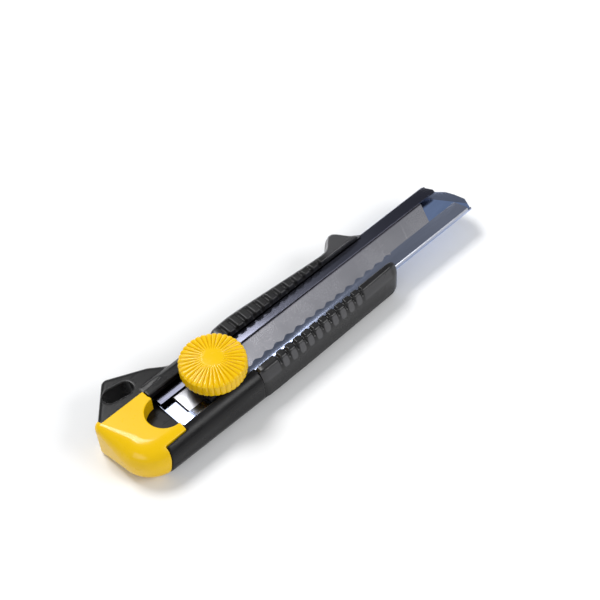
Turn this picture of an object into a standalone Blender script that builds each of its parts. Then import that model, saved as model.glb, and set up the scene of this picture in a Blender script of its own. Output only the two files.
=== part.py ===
"""Snap-off utility knife with an 18 mm blade, a folded steel channel and a wheel lock.

Frame: +X runs to the blade's tip, +Y to the finger guard and the cutting edge, +Z up.
The origin is on the wheel's axis, on the flat underside of the handle.
Sizes are in millimetres here and become metres where a mesh is made.
"""

import math

import bmesh
import bpy
from mathutils import Vector

MM = 0.001
GAP = 0.3  # clearance between neighbouring pieces

# Handle: its height, and plan corners as (x, y, plan radius, top edge radius, bottom edge radius)
HANDLE_TOP = 15.5
HANDLE_FRONT = 78.0
HANDLE_REAR = -42.3
HANDLE_CORNERS = (
    (HANDLE_FRONT, 12.2, 3.0, 2.5, 2.5),
    (60.0, 12.9, 40.0, 4.2, 3.5),
    (20.0, 15.9, 150.0, 4.5, 3.5),
    (HANDLE_REAR, 13.9, 3.0, 2.5, 1.8),
    (HANDLE_REAR, -13.4, 12.5, 7.5, 6.3),
    (30.0, -13.3, 80.0, 4.5, 3.5),
    (HANDLE_FRONT, -12.2, 3.0, 2.5, 2.5),
)

# How far cutters reach when they open upwards, downwards, backwards, forwards or sideways
ABOVE_ALL = 20.0
BELOW_ALL = -5.0
BEHIND_ALL = -60.0
FRONT_OF_ALL = 150.0
BESIDE_ALL = 30.0

# Half widths of the handle at the grips, as (x, half width)
LEFT_WIDTHS = ((20.0, 15.9), (60.0, 12.9), (HANDLE_FRONT, 12.2))
RIGHT_WIDTHS = ((-31.0, 13.4), (30.0, 13.3), (HANDLE_FRONT, 12.2))

# Trough along the top of the handle, which holds the steel channel
RAIL_INNER = 8.5
TROUGH_FLOOR = 9.2
TROUGH_WIDTH = 10.6
RAIL_UNDERSIDE = 12.8

# Tail loop beside the end cap: corners as for the handle, and the lanyard slot in it
LOOP_CORNERS = (
    (4.0, 8.0, 2.0, 1.4, 1.4),
    (2.0, 13.2, 2.0, 1.4, 1.4),
    (-8.0, 15.6, 6.0, 1.4, 1.4),
    (-13.5, 20.0, 8.0, 1.4, 1.4),
    (-27.8, 27.0, 2.5, 1.4, 1.4),
    (-41.2, 12.6, 2.0, 1.4, 1.4),
    (-40.6, 8.0, 2.0, 1.4, 1.4),
)
LOOP_UNDERSIDE = 5.0
LOOP_TOP = 13.2
RAMP_FOOT = -21.0
RAMP_HEAD = -11.0
RAMP_TOP = 16.0
SLOT_CENTRE = (-27.2, 18.7)
SLOT_LENGTH = 11.0
SLOT_WIDTH = 5.4
SLOT_ANGLE = math.radians(-11.0)

# End cap, its plug in the trough and the spigot that it slides over
CAP_LEFT = 11.4
CAP_ARM_RIGHT = -10.0
CAP_ARM_END = -21.5
CAP_SEAM_TOP = -30.5
CAP_SEAM_BOTTOM = -33.9  # where the seam's line is 5 mm under the handle
CAP_ARM_STEP = 0.6  # the left arm is shorter by this much
CAP_ARM_UNDERSIDE = 12.6
CAP_WRAP_FRONT = -39.8  # behind this the cap goes round the handle's left rear corner
CAP_WRAP_LEFT = 14.0
CAP_PLUG_WIDTH = 8.2
RECESS_CENTRE_X = -21.8
RECESS_RADIUS = 7.0
RECESS_UNDERSIDE = 5.0  # inside the pocket for the spigot
SPIGOT_CORNERS = (
    (-24.0, 9.0, 0.0),
    (-39.5, 9.0, 2.0),
    (-39.5, -9.0, 8.0),
    (-24.0, -9.0, 0.0),
)
SPIGOT_UNDERSIDE = 2.2

# Rubber grips: stations along each one as (x, half width at the side, height of the top)
GRIP_WALL = 1.6
GRIP_WALL_INNER = 10.7  # never nearer to the channel than this
GRIP_UNDERSIDE = 3.0
GRIP_RAIL_INNER = 8.8
GRIP_TOP = 15.4
GRIP_EDGE = 1.7  # the side leans in by this much between its lower part and the flat top
GRIP_LEAN_FOOT = 11.2
GRIP_WALL_END = 78.2  # only the rail goes on in front of this
GRIP_CHAMFER = 0.4  # on the rail's edge beside the channel
GRIP_SHOULDER = 1.2  # strip of the flat top where a groove can fade out
GRIP_BULGE = 0.5  # the leaning part swells by this much just under its top
GRIP_BEND = 0.8  # half height of the bend between the leaning and the upright part
GRIP_BEND_SETBACK = 0.2
GRIP_HEM = 0.7
GRIP_HEM_HEIGHT = 2.0
GROOVE_PITCH = 4.04
GROOVE_DEPTH = 0.7
GROOVE_MOUTH = 1.3
GROOVE_FLOOR = 0.4
GROOVE_SIDE_SHARE = 0.7  # of the depth, where a groove turns down the side
GROOVE_FOOT_SHARE = 0.8
STATION_SPACING = 0.7  # a grip's own station gives way to a groove nearer than this
LEFT_GROOVES = 12
LEFT_GROOVES_START = 14.45
RIGHT_GROOVES = 11
RIGHT_GROOVES_START = 19.2
LEFT_GRIP = (
    (10.5, 15.4, 14.7),
    (11.4, 15.8, 15.2),
    (12.8, 16.0, GRIP_TOP),
    (20.0, 16.3, GRIP_TOP),
    (40.0, 14.7, GRIP_TOP),
    (60.0, 13.1, GRIP_TOP),
    (64.5, 13.2, GRIP_TOP),
    (66.5, 14.3, GRIP_TOP),
    (68.5, 16.1, GRIP_TOP),
    (70.0, 17.3, GRIP_TOP),
    (71.2, 17.6, GRIP_TOP),
    (72.5, 17.1, GRIP_TOP),
    (74.0, 15.3, 15.3),
    (75.5, 13.4, 15.0),
    (77.0, 12.0, 14.6),
    (77.9, 11.4, 14.3),
    (78.5, 10.9, 14.0),
    (79.4, 10.1, 13.6),
    (80.2, 9.4, 13.3),
)
RIGHT_GRIP = (
    (10.5, 12.9, 14.7),
    (11.4, 13.3, 15.2),
    (12.8, 13.5, GRIP_TOP),
    (30.0, 13.4, GRIP_TOP),
    (60.0, 12.9, GRIP_TOP),
    (74.5, 12.5, GRIP_TOP),
    (76.0, 12.3, 15.1),
    (77.2, 11.8, 14.5),
    (78.0, 11.3, 13.8),
)

# Folded steel channel
CHANNEL_WIDTH = 20.6
CHANNEL_TOP = 12.5
CHANNEL_BASE = 9.5
STEEL = 0.6
CHANNEL_BEND = 0.7
LIP_MOUTH_LEFT = 4.7
LIP_MOUTH_RIGHT = 4.4
CHANNEL_REAR = -20.0
CHANNEL_STOCK_FRONT = 140.0  # length of the folded sheet before its nose is cut
FLOOR_NOSE = ((115.8, 10.8), (118.0, 6.2), (120.8, 3.1), (122.0, -0.4), (122.8, -4.6), (119.8, -10.8))
LIP_NOSE = ((114.0, 10.8), (116.4, 5.9), (115.9, 4.2), (116.8, -4.2), (118.3, -9.5), (118.0, -10.8))
# Detent wave along the right lip's edge
WAVE_PITCH = 5.0
WAVE_FIRST = -5.7
WAVES = 18
WAVE_MIDDLE = 4.65
WAVE_HEIGHT = 0.5
WAVE_STEPS = 6
RIVET_PLACES = (30.0, 64.0)
RIVET_HEAD_RADIUS = 2.2
RIVET_SHANK_RADIUS = 1.2
RIVET_FOOT = 4.0
RIVET_HEAD_HEIGHT = 0.3
RIVET_TAPER = 0.2

# Blade
BLADE_WIDTH = 18.0
BLADE_THICKNESS = 0.5
BLADE_UNDERSIDE = 11.2
BLADE_TIP = 110.7
BLADE_LENGTH = 101.2
BLADE_SLANT = 10.0
BEVEL_WIDTH = 1.3
CUTTING_EDGE = 0.04  # half of the flat left along the edge
SEGMENT_LENGTH = 12.0
SCORES = 7
SCORE_DEPTH = 0.12
SCORE_WIDTH = 0.35
PEG_X = 9.5
PEG_RADIUS = 1.0
PEG_FOOT = 10.5
PEG_TOP = 11.75
PEG_HOLE_RADIUS = 1.3

# Blade holder, stud, saddle and washer
HOLDER_REAR = -15.0
HOLDER_FRONT = 13.5
HOLDER_STEP = -4.6
HOLDER_WIDTH = 18.4
HOLDER_UNDERSIDE = 10.3
HOLDER_PLATE_TOP = 10.9
HOLDER_TOP = 11.7
STUD_RADIUS = 2.5
STUD_TOP = 20.2
STUD_FLANGE_RADIUS = 3.2
STUD_CHAMFER = 0.5
THREAD_GAP = 0.2  # between the stud and the nut
SADDLE_LENGTH = 16.0
SADDLE_WIDTH = 15.4
SADDLE_TOP = 15.0
SADDLE_KEY_WIDTH = 7.6
SADDLE_KEY_UNDERSIDE = 12.0
SADDLE_CHAMFER = 0.8
WASHER_RADIUS = 6.0
WASHER_UNDERSIDE = 15.3
WASHER_TOP = 16.1

# Thumb wheel and the nut moulded into it
WHEEL_RADIUS = 11.65
WHEEL_UNDERSIDE = 17.4
WHEEL_TOP = 23.6
WHEEL_DROP = 1.0  # the domed top has fallen this much where the edge starts
WHEEL_EDGE = 1.1
WHEEL_FOOT = 0.5  # slope at the bottom of the rim
WHEEL_DOME = ((0.8, 1.0), (0.6, 0.8), (0.4, 0.0), (0.2, 0.0))  # share of the radius, share of the groove
FLUTES = 36
FLUTE_DEPTH = 0.4
HUB_RADIUS = 6.2
HUB_UNDERSIDE = 16.4
HUB_OVERLAP = 0.4
RIM_INNER_RADIUS = 9.6
RIM_POCKET_TOP = 20.4
NUT_RADIUS = 4.0
NUT_TOP = 20.0
STUD_SPACE_RADIUS = 2.9
STUD_SPACE_TOP = 21.0


# ---------------------------------------------------------------- helpers

def clear_scene():
    for obj in list(bpy.data.objects):
        bpy.data.objects.remove(obj, do_unlink=True)


def material(name, colour, roughness, metallic=0.0):
    mat = bpy.data.materials.new(name)
    mat.use_nodes = True
    shader = mat.node_tree.nodes["Principled BSDF"]
    shader.inputs["Base Color"].default_value = (*colour, 1.0)
    shader.inputs["Roughness"].default_value = roughness
    shader.inputs["Metallic"].default_value = metallic
    mat.diffuse_color = (*colour, 1.0)
    return mat


def finish(name, bm, mat=None, origin=(0.0, 0.0, 0.0)):
    """Turn a bmesh in millimetres into an object whose own origin is at the given point."""
    bmesh.ops.recalc_face_normals(bm, faces=bm.faces)
    for vert in bm.verts:
        vert.co = (vert.co - Vector(origin)) * MM
    mesh = bpy.data.meshes.new(name)
    bm.to_mesh(mesh)
    bm.free()
    mesh.shade_smooth()
    mesh.set_sharp_from_angle(angle=math.radians(32))
    obj = bpy.data.objects.new(name, mesh)
    obj.location = Vector(origin) * MM
    bpy.context.collection.objects.link(obj)
    if mat:
        mesh.materials.append(mat)
    return obj


def tool(name, bm):
    """A cutter or guide: never part of the knife itself."""
    obj = finish(name, bm)
    obj.hide_render = True
    obj.display_type = "WIRE"
    return obj


def boolean(obj, other, operation):
    change = obj.modifiers.new(f"{operation.lower()} {other.name}", "BOOLEAN")
    change.operation = operation
    change.object = other
    change.solver = "EXACT"


def fillet(corners, segments=6):
    """Plan points of a polygon whose corners (x, y, radius, *rest) are rounded; rest is kept."""
    points = []
    for i, (x, y, radius, *rest) in enumerate(corners):
        here = Vector((x, y))
        before = Vector(corners[i - 1][:2]) - here
        after = Vector(corners[(i + 1) % len(corners)][:2]) - here
        if radius <= 0:
            points.append((x, y, *rest))
            continue
        before.normalize()
        after.normalize()
        half = before.angle(after) / 2
        setback = radius / math.tan(half)
        centre = here + (before + after).normalized() * (radius / math.sin(half))
        start = here + before * setback - centre
        end = here + after * setback - centre
        sweep = start.angle_signed(end)
        steps = max(1, round(segments * abs(sweep) / (math.pi / 2)))
        for k in range(steps + 1):
            turn = -sweep * k / steps
            arm = Vector((start.x * math.cos(turn) - start.y * math.sin(turn),
                          start.x * math.sin(turn) + start.y * math.cos(turn)))
            points.append((centre.x + arm.x, centre.y + arm.y, *rest))
    return points


def loft(sections):
    """Closed solid through rings of 3-D points, one point list per section."""
    bm = bmesh.new()
    rings = [[bm.verts.new(p) for p in section] for section in sections]
    for low, high in zip(rings, rings[1:]):
        for i in range(len(low)):
            j = (i + 1) % len(low)
            bm.faces.new((low[i], low[j], high[j], high[i]))
    bm.faces.new(rings[0])
    bm.faces.new(rings[-1])
    return bm


def prism(outline, low, high, axis="Z"):
    """Extrude a polygon from low to high: XY points along Z, XZ points along Y, YZ along X."""
    place = {
        "Z": lambda a, b, c: (a, b, c),
        "Y": lambda a, b, c: (a, c, b),
        "X": lambda a, b, c: (c, a, b),
    }[axis]
    return loft([[place(p[0], p[1], level) for p in outline] for level in (low, high)])


def box(x0, x1, y0, y1, z0, z1):
    return prism(((x0, y0), (x1, y0), (x1, y1), (x0, y1)), z0, z1)


def turned(profile, centre=(0.0, 0.0), count=32):
    """Solid of revolution about a vertical axis; the profile of (radius, z) starts and ends on it."""
    sections = []
    for radius, z in profile[1:-1]:
        sections.append([
            (centre[0] + radius * math.cos(math.tau * k / count),
             centre[1] + radius * math.sin(math.tau * k / count), z)
            for k in range(count)
        ])
    return loft(sections)


def cylinder(radius, low, high, centre=(0.0, 0.0), count=32):
    return turned(((0, low), (radius, low), (radius, high), (0, high)), centre, count)


def width_at(table, x):
    """Straight-line interpolation in a table of (x, width)."""
    if x <= table[0][0]:
        return table[0][1]
    for (x0, w0), (x1, w1) in zip(table, table[1:]):
        if x <= x1:
            return w0 + (w1 - w0) * (x - x0) / (x1 - x0)
    return table[-1][1]


# ---------------------------------------------------------------- handle

def cushion(corners, low, high, segments):
    """Plate with a rounded plan; each corner also gives the radius of the top and of the bottom edge."""
    outline = fillet(corners)
    count = len(outline)
    inward = []
    for i in range(count):
        before, here, after = (Vector(outline[j % count][:2]) for j in (i - 1, i, i + 1))
        edge = (here - before).normalized() + (after - here).normalized()
        inward.append(Vector((-edge.y, edge.x)).normalized())
    sections = []
    for angle in (math.pi / 2 * k / segments for k in range(segments, -1, -1)):
        ring = []
        for (x, y, _, bottom), normal in zip(outline, inward):
            inset = bottom * (1 - math.cos(angle))
            ring.append((x + normal.x * inset, y + normal.y * inset, low + bottom * (1 - math.sin(angle))))
        sections.append(ring)
    for angle in (math.pi / 2 * k / (segments + 1) for k in range(segments + 2)):
        ring = []
        for (x, y, top, _), normal in zip(outline, inward):
            inset = top * (1 - math.cos(angle))
            ring.append((x + normal.x * inset, y + normal.y * inset, high - top * (1 - math.sin(angle))))
        sections.append(ring)
    return loft(sections)


def envelope():
    """Outer shape shared by the handle and its end cap."""
    return cushion(HANDLE_CORNERS, 0.0, HANDLE_TOP, 4)


def cap_zone_body(gap):
    """Everything behind the cap's slanted side seam, and right of the tail loop."""
    side = (
        (BEHIND_ALL, BELOW_ALL),
        (CAP_SEAM_BOTTOM + gap, BELOW_ALL),
        (CAP_SEAM_TOP + gap, CAP_ARM_UNDERSIDE),
        (CAP_SEAM_TOP + gap, ABOVE_ALL),
        (BEHIND_ALL, ABOVE_ALL),
    )
    return prism(side, -BESIDE_ALL, CAP_LEFT + gap, axis="Y")


def cap_zone_arms(gap):
    """The cap's top, which reaches forward on both sides of the recess."""
    outline = (
        (CAP_ARM_END - CAP_ARM_STEP + gap, CAP_LEFT + gap),
        (BEHIND_ALL, CAP_LEFT + gap),
        (BEHIND_ALL, CAP_ARM_RIGHT - gap),
        (CAP_ARM_END + gap, CAP_ARM_RIGHT - gap),
        (CAP_ARM_END + gap, 0.0),
        (CAP_ARM_END - CAP_ARM_STEP + gap, 0.0),
    )
    return prism(outline, CAP_ARM_UNDERSIDE - gap, ABOVE_ALL)


def cap_zone_wrap(gap):
    """The left rear corner, beside the tail loop."""
    return box(BEHIND_ALL, CAP_WRAP_FRONT + gap, 0.0, CAP_WRAP_LEFT + gap, BELOW_ALL, ABOVE_ALL)


def spigot(gap):
    corners = [(x - gap, math.copysign(abs(y) + gap, y), radius and radius + gap)
               for x, y, radius in SPIGOT_CORNERS]
    return prism(fillet(corners, 5), SPIGOT_UNDERSIDE - gap, TROUGH_FLOOR + gap)


def loop_ramp():
    """Lowers the handle beside the cap to the tail loop's height, with a slope at its front."""
    side = (
        (BEHIND_ALL, LOOP_TOP),
        (RAMP_FOOT, LOOP_TOP),
        (RAMP_HEAD, RAMP_TOP),
        (BEHIND_ALL, RAMP_TOP),
    )
    return prism(side, CAP_LEFT, BESIDE_ALL, axis="Y")


def lanyard_slot():
    across = SLOT_WIDTH / 2
    reach = SLOT_LENGTH / 2
    corners = ((reach, across, across), (-reach, across, across),
               (-reach, -across, across), (reach, -across, across))
    turn_cos = math.cos(SLOT_ANGLE)
    turn_sin = math.sin(SLOT_ANGLE)
    outline = []
    for x, y in fillet(corners, 4):
        outline.append((SLOT_CENTRE[0] + x * turn_cos - y * turn_sin,
                        SLOT_CENTRE[1] + x * turn_sin + y * turn_cos))
    return prism(outline, BELOW_ALL, ABOVE_ALL)


def trough():
    profile = (
        (-TROUGH_WIDTH, TROUGH_FLOOR),
        (TROUGH_WIDTH, TROUGH_FLOOR),
        (TROUGH_WIDTH, RAIL_UNDERSIDE),
        (RAIL_INNER, RAIL_UNDERSIDE),
        (RAIL_INNER, ABOVE_ALL),
        (-RAIL_INNER, ABOVE_ALL),
        (-RAIL_INNER, RAIL_UNDERSIDE),
        (-TROUGH_WIDTH, RAIL_UNDERSIDE),
    )
    return prism(profile, BEHIND_ALL, FRONT_OF_ALL, axis="X")


def grip_wall(widths, x):
    """Distance from the middle to the inner face of a grip's side wall."""
    return max(width_at(widths, x) - GRIP_WALL, GRIP_WALL_INNER)


def grip_seat(widths, side):
    """What the handle gives up for one grip: the rail and a shallow step down its side."""
    sections = []
    for x in (LEFT_GRIP[0][0] - GAP, 20.0, 30.0, 60.0, HANDLE_FRONT, FRONT_OF_ALL):
        wall = grip_wall(widths, x) - GAP
        ring = (
            (wall, GRIP_UNDERSIDE - GAP),
            (BESIDE_ALL, GRIP_UNDERSIDE - GAP),
            (BESIDE_ALL, ABOVE_ALL),
            (RAIL_INNER - GAP, ABOVE_ALL),
            (RAIL_INNER - GAP, CHANNEL_TOP),
            (wall, CHANNEL_TOP),
        )
        sections.append([(x, side * w, z) for w, z in ring])
    return loft(sections)


def make_handle(mat):
    handle = finish("handle_body", envelope(), mat)
    loop = cushion(LOOP_CORNERS, LOOP_UNDERSIDE, LOOP_TOP, 2)
    boolean(handle, tool("add_tail_loop", loop), "UNION")
    boolean(handle, tool("cut_cap_body", cap_zone_body(GAP)), "DIFFERENCE")
    boolean(handle, tool("cut_cap_arms", cap_zone_arms(GAP)), "DIFFERENCE")
    boolean(handle, tool("cut_cap_wrap", cap_zone_wrap(GAP)), "DIFFERENCE")
    boolean(handle, tool("add_spigot", spigot(0.0)), "UNION")
    boolean(handle, tool("cut_loop_ramp", loop_ramp()), "DIFFERENCE")
    boolean(handle, tool("cut_lanyard_slot", lanyard_slot()), "DIFFERENCE")
    boolean(handle, tool("cut_trough", trough()), "DIFFERENCE")
    boolean(handle, tool("cut_seat_left", grip_seat(LEFT_WIDTHS, 1)), "DIFFERENCE")
    boolean(handle, tool("cut_seat_right", grip_seat(RIGHT_WIDTHS, -1)), "DIFFERENCE")
    for number, x in enumerate(RIVET_PLACES, 1):
        hole = cylinder(RIVET_SHANK_RADIUS + GAP, RIVET_FOOT - GAP, ABOVE_ALL, (x, 0.0), 16)
        boolean(handle, tool(f"cut_rivet_hole_{number}", hole), "DIFFERENCE")
    return handle


def make_end_cap(mat):
    zone = tool("cap_zone", cap_zone_body(0.0))
    boolean(zone, tool("add_cap_arms", cap_zone_arms(0.0)), "UNION")
    boolean(zone, tool("add_cap_wrap", cap_zone_wrap(0.0)), "UNION")
    plug = box(BEHIND_ALL, RECESS_CENTRE_X, -CAP_PLUG_WIDTH, CAP_PLUG_WIDTH, TROUGH_FLOOR + GAP, ABOVE_ALL)
    boolean(zone, tool("add_cap_plug", plug), "UNION")
    cap = finish("end_cap", envelope(), mat)
    boolean(cap, zone, "INTERSECT")
    boolean(cap, tool("cut_spigot_pocket", spigot(GAP)), "DIFFERENCE")
    recess = cylinder(RECESS_RADIUS, RECESS_UNDERSIDE, ABOVE_ALL, (RECESS_CENTRE_X, 0.0), 40)
    boolean(cap, tool("cut_recess", recess), "DIFFERENCE")
    return cap


# ---------------------------------------------------------------- grips

def grip_section(x, outer, crest, wall, cut, side, cut_side):
    """Cross-section of a grip: a flat-topped rail over the channel's lip, and a wall that leans in.

    A groove of depth cut runs across the top and, where cut_side is true, down the leaning part.
    """
    inner = GRIP_RAIL_INNER
    top_edge = max(outer - GRIP_EDGE, (inner + outer) / 2)
    top_width = top_edge - inner
    edge = top_edge + min(GRIP_BULGE, (outer - top_edge) / 2)
    lean_cut = cut if cut_side else 0.0
    side_cut = lean_cut * GROOVE_SIDE_SHARE
    ring = [
        (inner, RAIL_UNDERSIDE),
        (inner, crest - GRIP_CHAMFER - cut),
        (inner + min(GRIP_CHAMFER, top_width / 3), crest - cut),
        (top_edge - min(GRIP_SHOULDER, top_width / 3), crest - cut),
        (top_edge, crest - lean_cut),
        (edge - side_cut, crest - GRIP_BULGE - side_cut),
    ]
    if x < GRIP_WALL_END:
        ring += [
            (outer - GRIP_BEND_SETBACK - lean_cut * GROOVE_FOOT_SHARE, GRIP_LEAN_FOOT + GRIP_BEND),
            (outer, GRIP_LEAN_FOOT - GRIP_BEND),
            (outer, GRIP_UNDERSIDE + GRIP_HEM_HEIGHT),
            (outer - GRIP_HEM, GRIP_UNDERSIDE),
            (wall, GRIP_UNDERSIDE),
            (wall, RAIL_UNDERSIDE),
        ]
    else:
        ring += [(outer, RAIL_UNDERSIDE)] * 6
    return [(x, side * w, z) for w, z in ring]


def groove_stations(start, count):
    """Stations along X with the depth of the grooves at each, as (x, depth)."""
    stations = []
    for number in range(count):
        middle = start + number * GROOVE_PITCH
        stations.append((middle - GROOVE_MOUTH / 2, 0.0))
        stations.append((middle - GROOVE_FLOOR / 2, GROOVE_DEPTH))
        stations.append((middle + GROOVE_FLOOR / 2, GROOVE_DEPTH))
        stations.append((middle + GROOVE_MOUTH / 2, 0.0))
    return stations


def make_grip(name, widths, table, grooves, side, mat):
    """One grip through its own stations and those of its grooves; only the right one is cut down its side."""
    outers = [(x, outer) for x, outer, _ in table]
    crests = [(x, crest) for x, _, crest in table]
    own = [
        (x, 0.0) for x, _ in outers
        if all(abs(x - place) > STATION_SPACING for place, _ in grooves)
    ]
    sections = []
    for x, cut in sorted(own + grooves):
        outer = width_at(outers, x)
        crest = width_at(crests, x)
        sections.append(grip_section(x, outer, crest, grip_wall(widths, x), cut, side, side < 0))
    bm = loft(sections)
    bmesh.ops.remove_doubles(bm, verts=bm.verts, dist=0.001)
    return finish(name, bm, mat)


# ---------------------------------------------------------------- channel and blade

def channel_side(mouth):
    """Half of the folded section, from the floor's edge round to the lip's edge and back inside."""
    half = CHANNEL_WIDTH / 2
    return (
        (half - CHANNEL_BEND, CHANNEL_BASE),
        (half, CHANNEL_BASE + CHANNEL_BEND),
        (half, CHANNEL_TOP - CHANNEL_BEND),
        (half - CHANNEL_BEND, CHANNEL_TOP),
        (mouth, CHANNEL_TOP),
        (mouth, CHANNEL_TOP - STEEL),
        (half - STEEL, CHANNEL_TOP - STEEL),
        (half - STEEL, CHANNEL_BASE + STEEL),
    )


def lip_wave():
    """Cutter whose edge leaves rounded detents along the right lip."""
    edge = []
    for k in range(WAVES * WAVE_STEPS + 1):
        turn = math.tau * k / WAVE_STEPS
        x = WAVE_FIRST + WAVE_PITCH * (k / WAVE_STEPS - 0.5)
        edge.append((x, -(WAVE_MIDDLE + WAVE_HEIGHT * math.cos(turn))))
    return prism(((edge[0][0], 0.0), *edge, (edge[-1][0], 0.0)), CHANNEL_TOP - 2 * STEEL, ABOVE_ALL)


def make_channel(mat):
    right = [(-y, z) for y, z in reversed(channel_side(WAVE_MIDDLE - WAVE_HEIGHT))]
    profile = (*channel_side(LIP_MOUTH_LEFT), *right)
    channel = finish("blade_channel", prism(profile, CHANNEL_REAR, CHANNEL_STOCK_FRONT, axis="X"), mat)
    lips_nose = (*LIP_NOSE, (FRONT_OF_ALL, -BESIDE_ALL), (FRONT_OF_ALL, BESIDE_ALL))
    floor_nose = (*FLOOR_NOSE, (FRONT_OF_ALL, -BESIDE_ALL), (FRONT_OF_ALL, BESIDE_ALL))
    middle = (CHANNEL_BASE + CHANNEL_TOP) / 2
    wave_end = WAVE_FIRST + WAVE_PITCH * (WAVES - 0.5)
    low = CHANNEL_TOP - 2 * STEEL
    straight = box(wave_end, FRONT_OF_ALL, -LIP_MOUTH_RIGHT, 0.0, low, ABOVE_ALL)
    boolean(channel, tool("cut_lip_nose", prism(lips_nose, middle, ABOVE_ALL)), "DIFFERENCE")
    boolean(channel, tool("cut_floor_nose", prism(floor_nose, BELOW_ALL, ABOVE_ALL)), "DIFFERENCE")
    boolean(channel, tool("cut_lip_wave", lip_wave()), "DIFFERENCE")
    boolean(channel, tool("cut_lip_straight", straight), "DIFFERENCE")
    for number, x in enumerate(RIVET_PLACES, 1):
        hole = cylinder(RIVET_HEAD_RADIUS + GAP, BELOW_ALL, CHANNEL_BASE + 2 * STEEL, (x, 0.0), 16)
        boolean(channel, tool(f"cut_channel_hole_{number}", hole), "DIFFERENCE")
    return channel


def make_rivets(mat):
    """Flush-headed rivets that hold the channel down in the trough."""
    head_top = CHANNEL_BASE + STEEL
    profile = (
        (0, RIVET_FOOT),
        (RIVET_SHANK_RADIUS, RIVET_FOOT),
        (RIVET_SHANK_RADIUS, head_top - RIVET_HEAD_HEIGHT - RIVET_TAPER),
        (RIVET_HEAD_RADIUS, head_top - RIVET_HEAD_HEIGHT),
        (RIVET_HEAD_RADIUS, head_top),
        (0, head_top),
    )
    for place, x in zip(("rear", "front"), RIVET_PLACES):
        finish(f"channel_rivet_{place}", turned(profile, (x, 0.0), 16), mat)


def end_line(tip_x, y):
    """X of a slanted line across the blade that meets the cutting edge at tip_x."""
    return tip_x - BLADE_SLANT * (BLADE_WIDTH / 2 - y) / BLADE_WIDTH


def make_blade(mat):
    half = BLADE_WIDTH / 2
    top = BLADE_UNDERSIDE + BLADE_THICKNESS
    middle = BLADE_UNDERSIDE + BLADE_THICKNESS / 2
    profile = (
        (-half, BLADE_UNDERSIDE),
        (half - BEVEL_WIDTH, BLADE_UNDERSIDE),
        (half, middle - CUTTING_EDGE),
        (half, middle + CUTTING_EDGE),
        (half - BEVEL_WIDTH, top),
        (-half, top),
    )
    ends = (BLADE_TIP - BLADE_LENGTH, BLADE_TIP)
    blade = finish("blade", loft([[(end_line(x, y), y, z) for y, z in profile] for x in ends]), mat)
    for number in range(1, SCORES + 1):
        x = BLADE_TIP - SEGMENT_LENGTH * number
        groove = prism((
            (end_line(x, BESIDE_ALL) - SCORE_WIDTH / 2, BESIDE_ALL),
            (end_line(x, BESIDE_ALL) + SCORE_WIDTH / 2, BESIDE_ALL),
            (end_line(x, -BESIDE_ALL) + SCORE_WIDTH / 2, -BESIDE_ALL),
            (end_line(x, -BESIDE_ALL) - SCORE_WIDTH / 2, -BESIDE_ALL),
        ), top - SCORE_DEPTH, ABOVE_ALL)
        boolean(blade, tool(f"cut_score_{number}", groove), "DIFFERENCE")
    hole = cylinder(PEG_HOLE_RADIUS, BELOW_ALL, ABOVE_ALL, (PEG_X, 0.0), 24)
    boolean(blade, tool("cut_peg_hole", hole), "DIFFERENCE")
    return blade


# ---------------------------------------------------------------- slider and wheel

def make_holder(mat):
    half = HOLDER_WIDTH / 2
    side = (
        (HOLDER_REAR, HOLDER_UNDERSIDE),
        (HOLDER_FRONT, HOLDER_UNDERSIDE),
        (HOLDER_FRONT, HOLDER_PLATE_TOP),
        (HOLDER_STEP, HOLDER_PLATE_TOP),
        (HOLDER_STEP, HOLDER_TOP),
        (HOLDER_REAR, HOLDER_TOP),
    )
    holder = finish("blade_holder", prism(side, -half, half, axis="Y"), mat)
    peg = cylinder(PEG_RADIUS, PEG_FOOT, PEG_TOP, (PEG_X, 0.0), 24)
    boolean(holder, tool("add_peg", peg), "UNION")
    hole = cylinder(STUD_RADIUS + GAP, BELOW_ALL, ABOVE_ALL)
    boolean(holder, tool("cut_stud_hole", hole), "DIFFERENCE")
    return holder


def make_stud(mat):
    flange_low = HOLDER_PLATE_TOP + GAP
    profile = (
        (0, HOLDER_UNDERSIDE),
        (STUD_RADIUS, HOLDER_UNDERSIDE),
        (STUD_RADIUS, flange_low),
        (STUD_FLANGE_RADIUS, flange_low),
        (STUD_FLANGE_RADIUS, HOLDER_TOP),
        (STUD_RADIUS, HOLDER_TOP),
        (STUD_RADIUS, STUD_TOP - STUD_CHAMFER),
        (STUD_RADIUS - STUD_CHAMFER, STUD_TOP),
        (0, STUD_TOP),
    )
    return finish("threaded_stud", turned(profile), mat)


def make_saddle(mat):
    wide = SADDLE_WIDTH / 2
    key = SADDLE_KEY_WIDTH / 2
    profile = (
        (-key, SADDLE_KEY_UNDERSIDE),
        (key, SADDLE_KEY_UNDERSIDE),
        (key, CHANNEL_TOP + GAP),
        (wide, CHANNEL_TOP + GAP),
        (wide, SADDLE_TOP - SADDLE_CHAMFER),
        (wide - SADDLE_CHAMFER, SADDLE_TOP),
        (-wide + SADDLE_CHAMFER, SADDLE_TOP),
        (-wide, SADDLE_TOP - SADDLE_CHAMFER),
        (-wide, CHANNEL_TOP + GAP),
        (-key, CHANNEL_TOP + GAP),
    )
    reach = SADDLE_LENGTH / 2
    saddle = finish("slider_saddle", prism(profile, -reach, reach, axis="X"), mat)
    hole = cylinder(STUD_RADIUS + GAP, BELOW_ALL, ABOVE_ALL)
    boolean(saddle, tool("cut_saddle_hole", hole), "DIFFERENCE")
    return saddle


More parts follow.
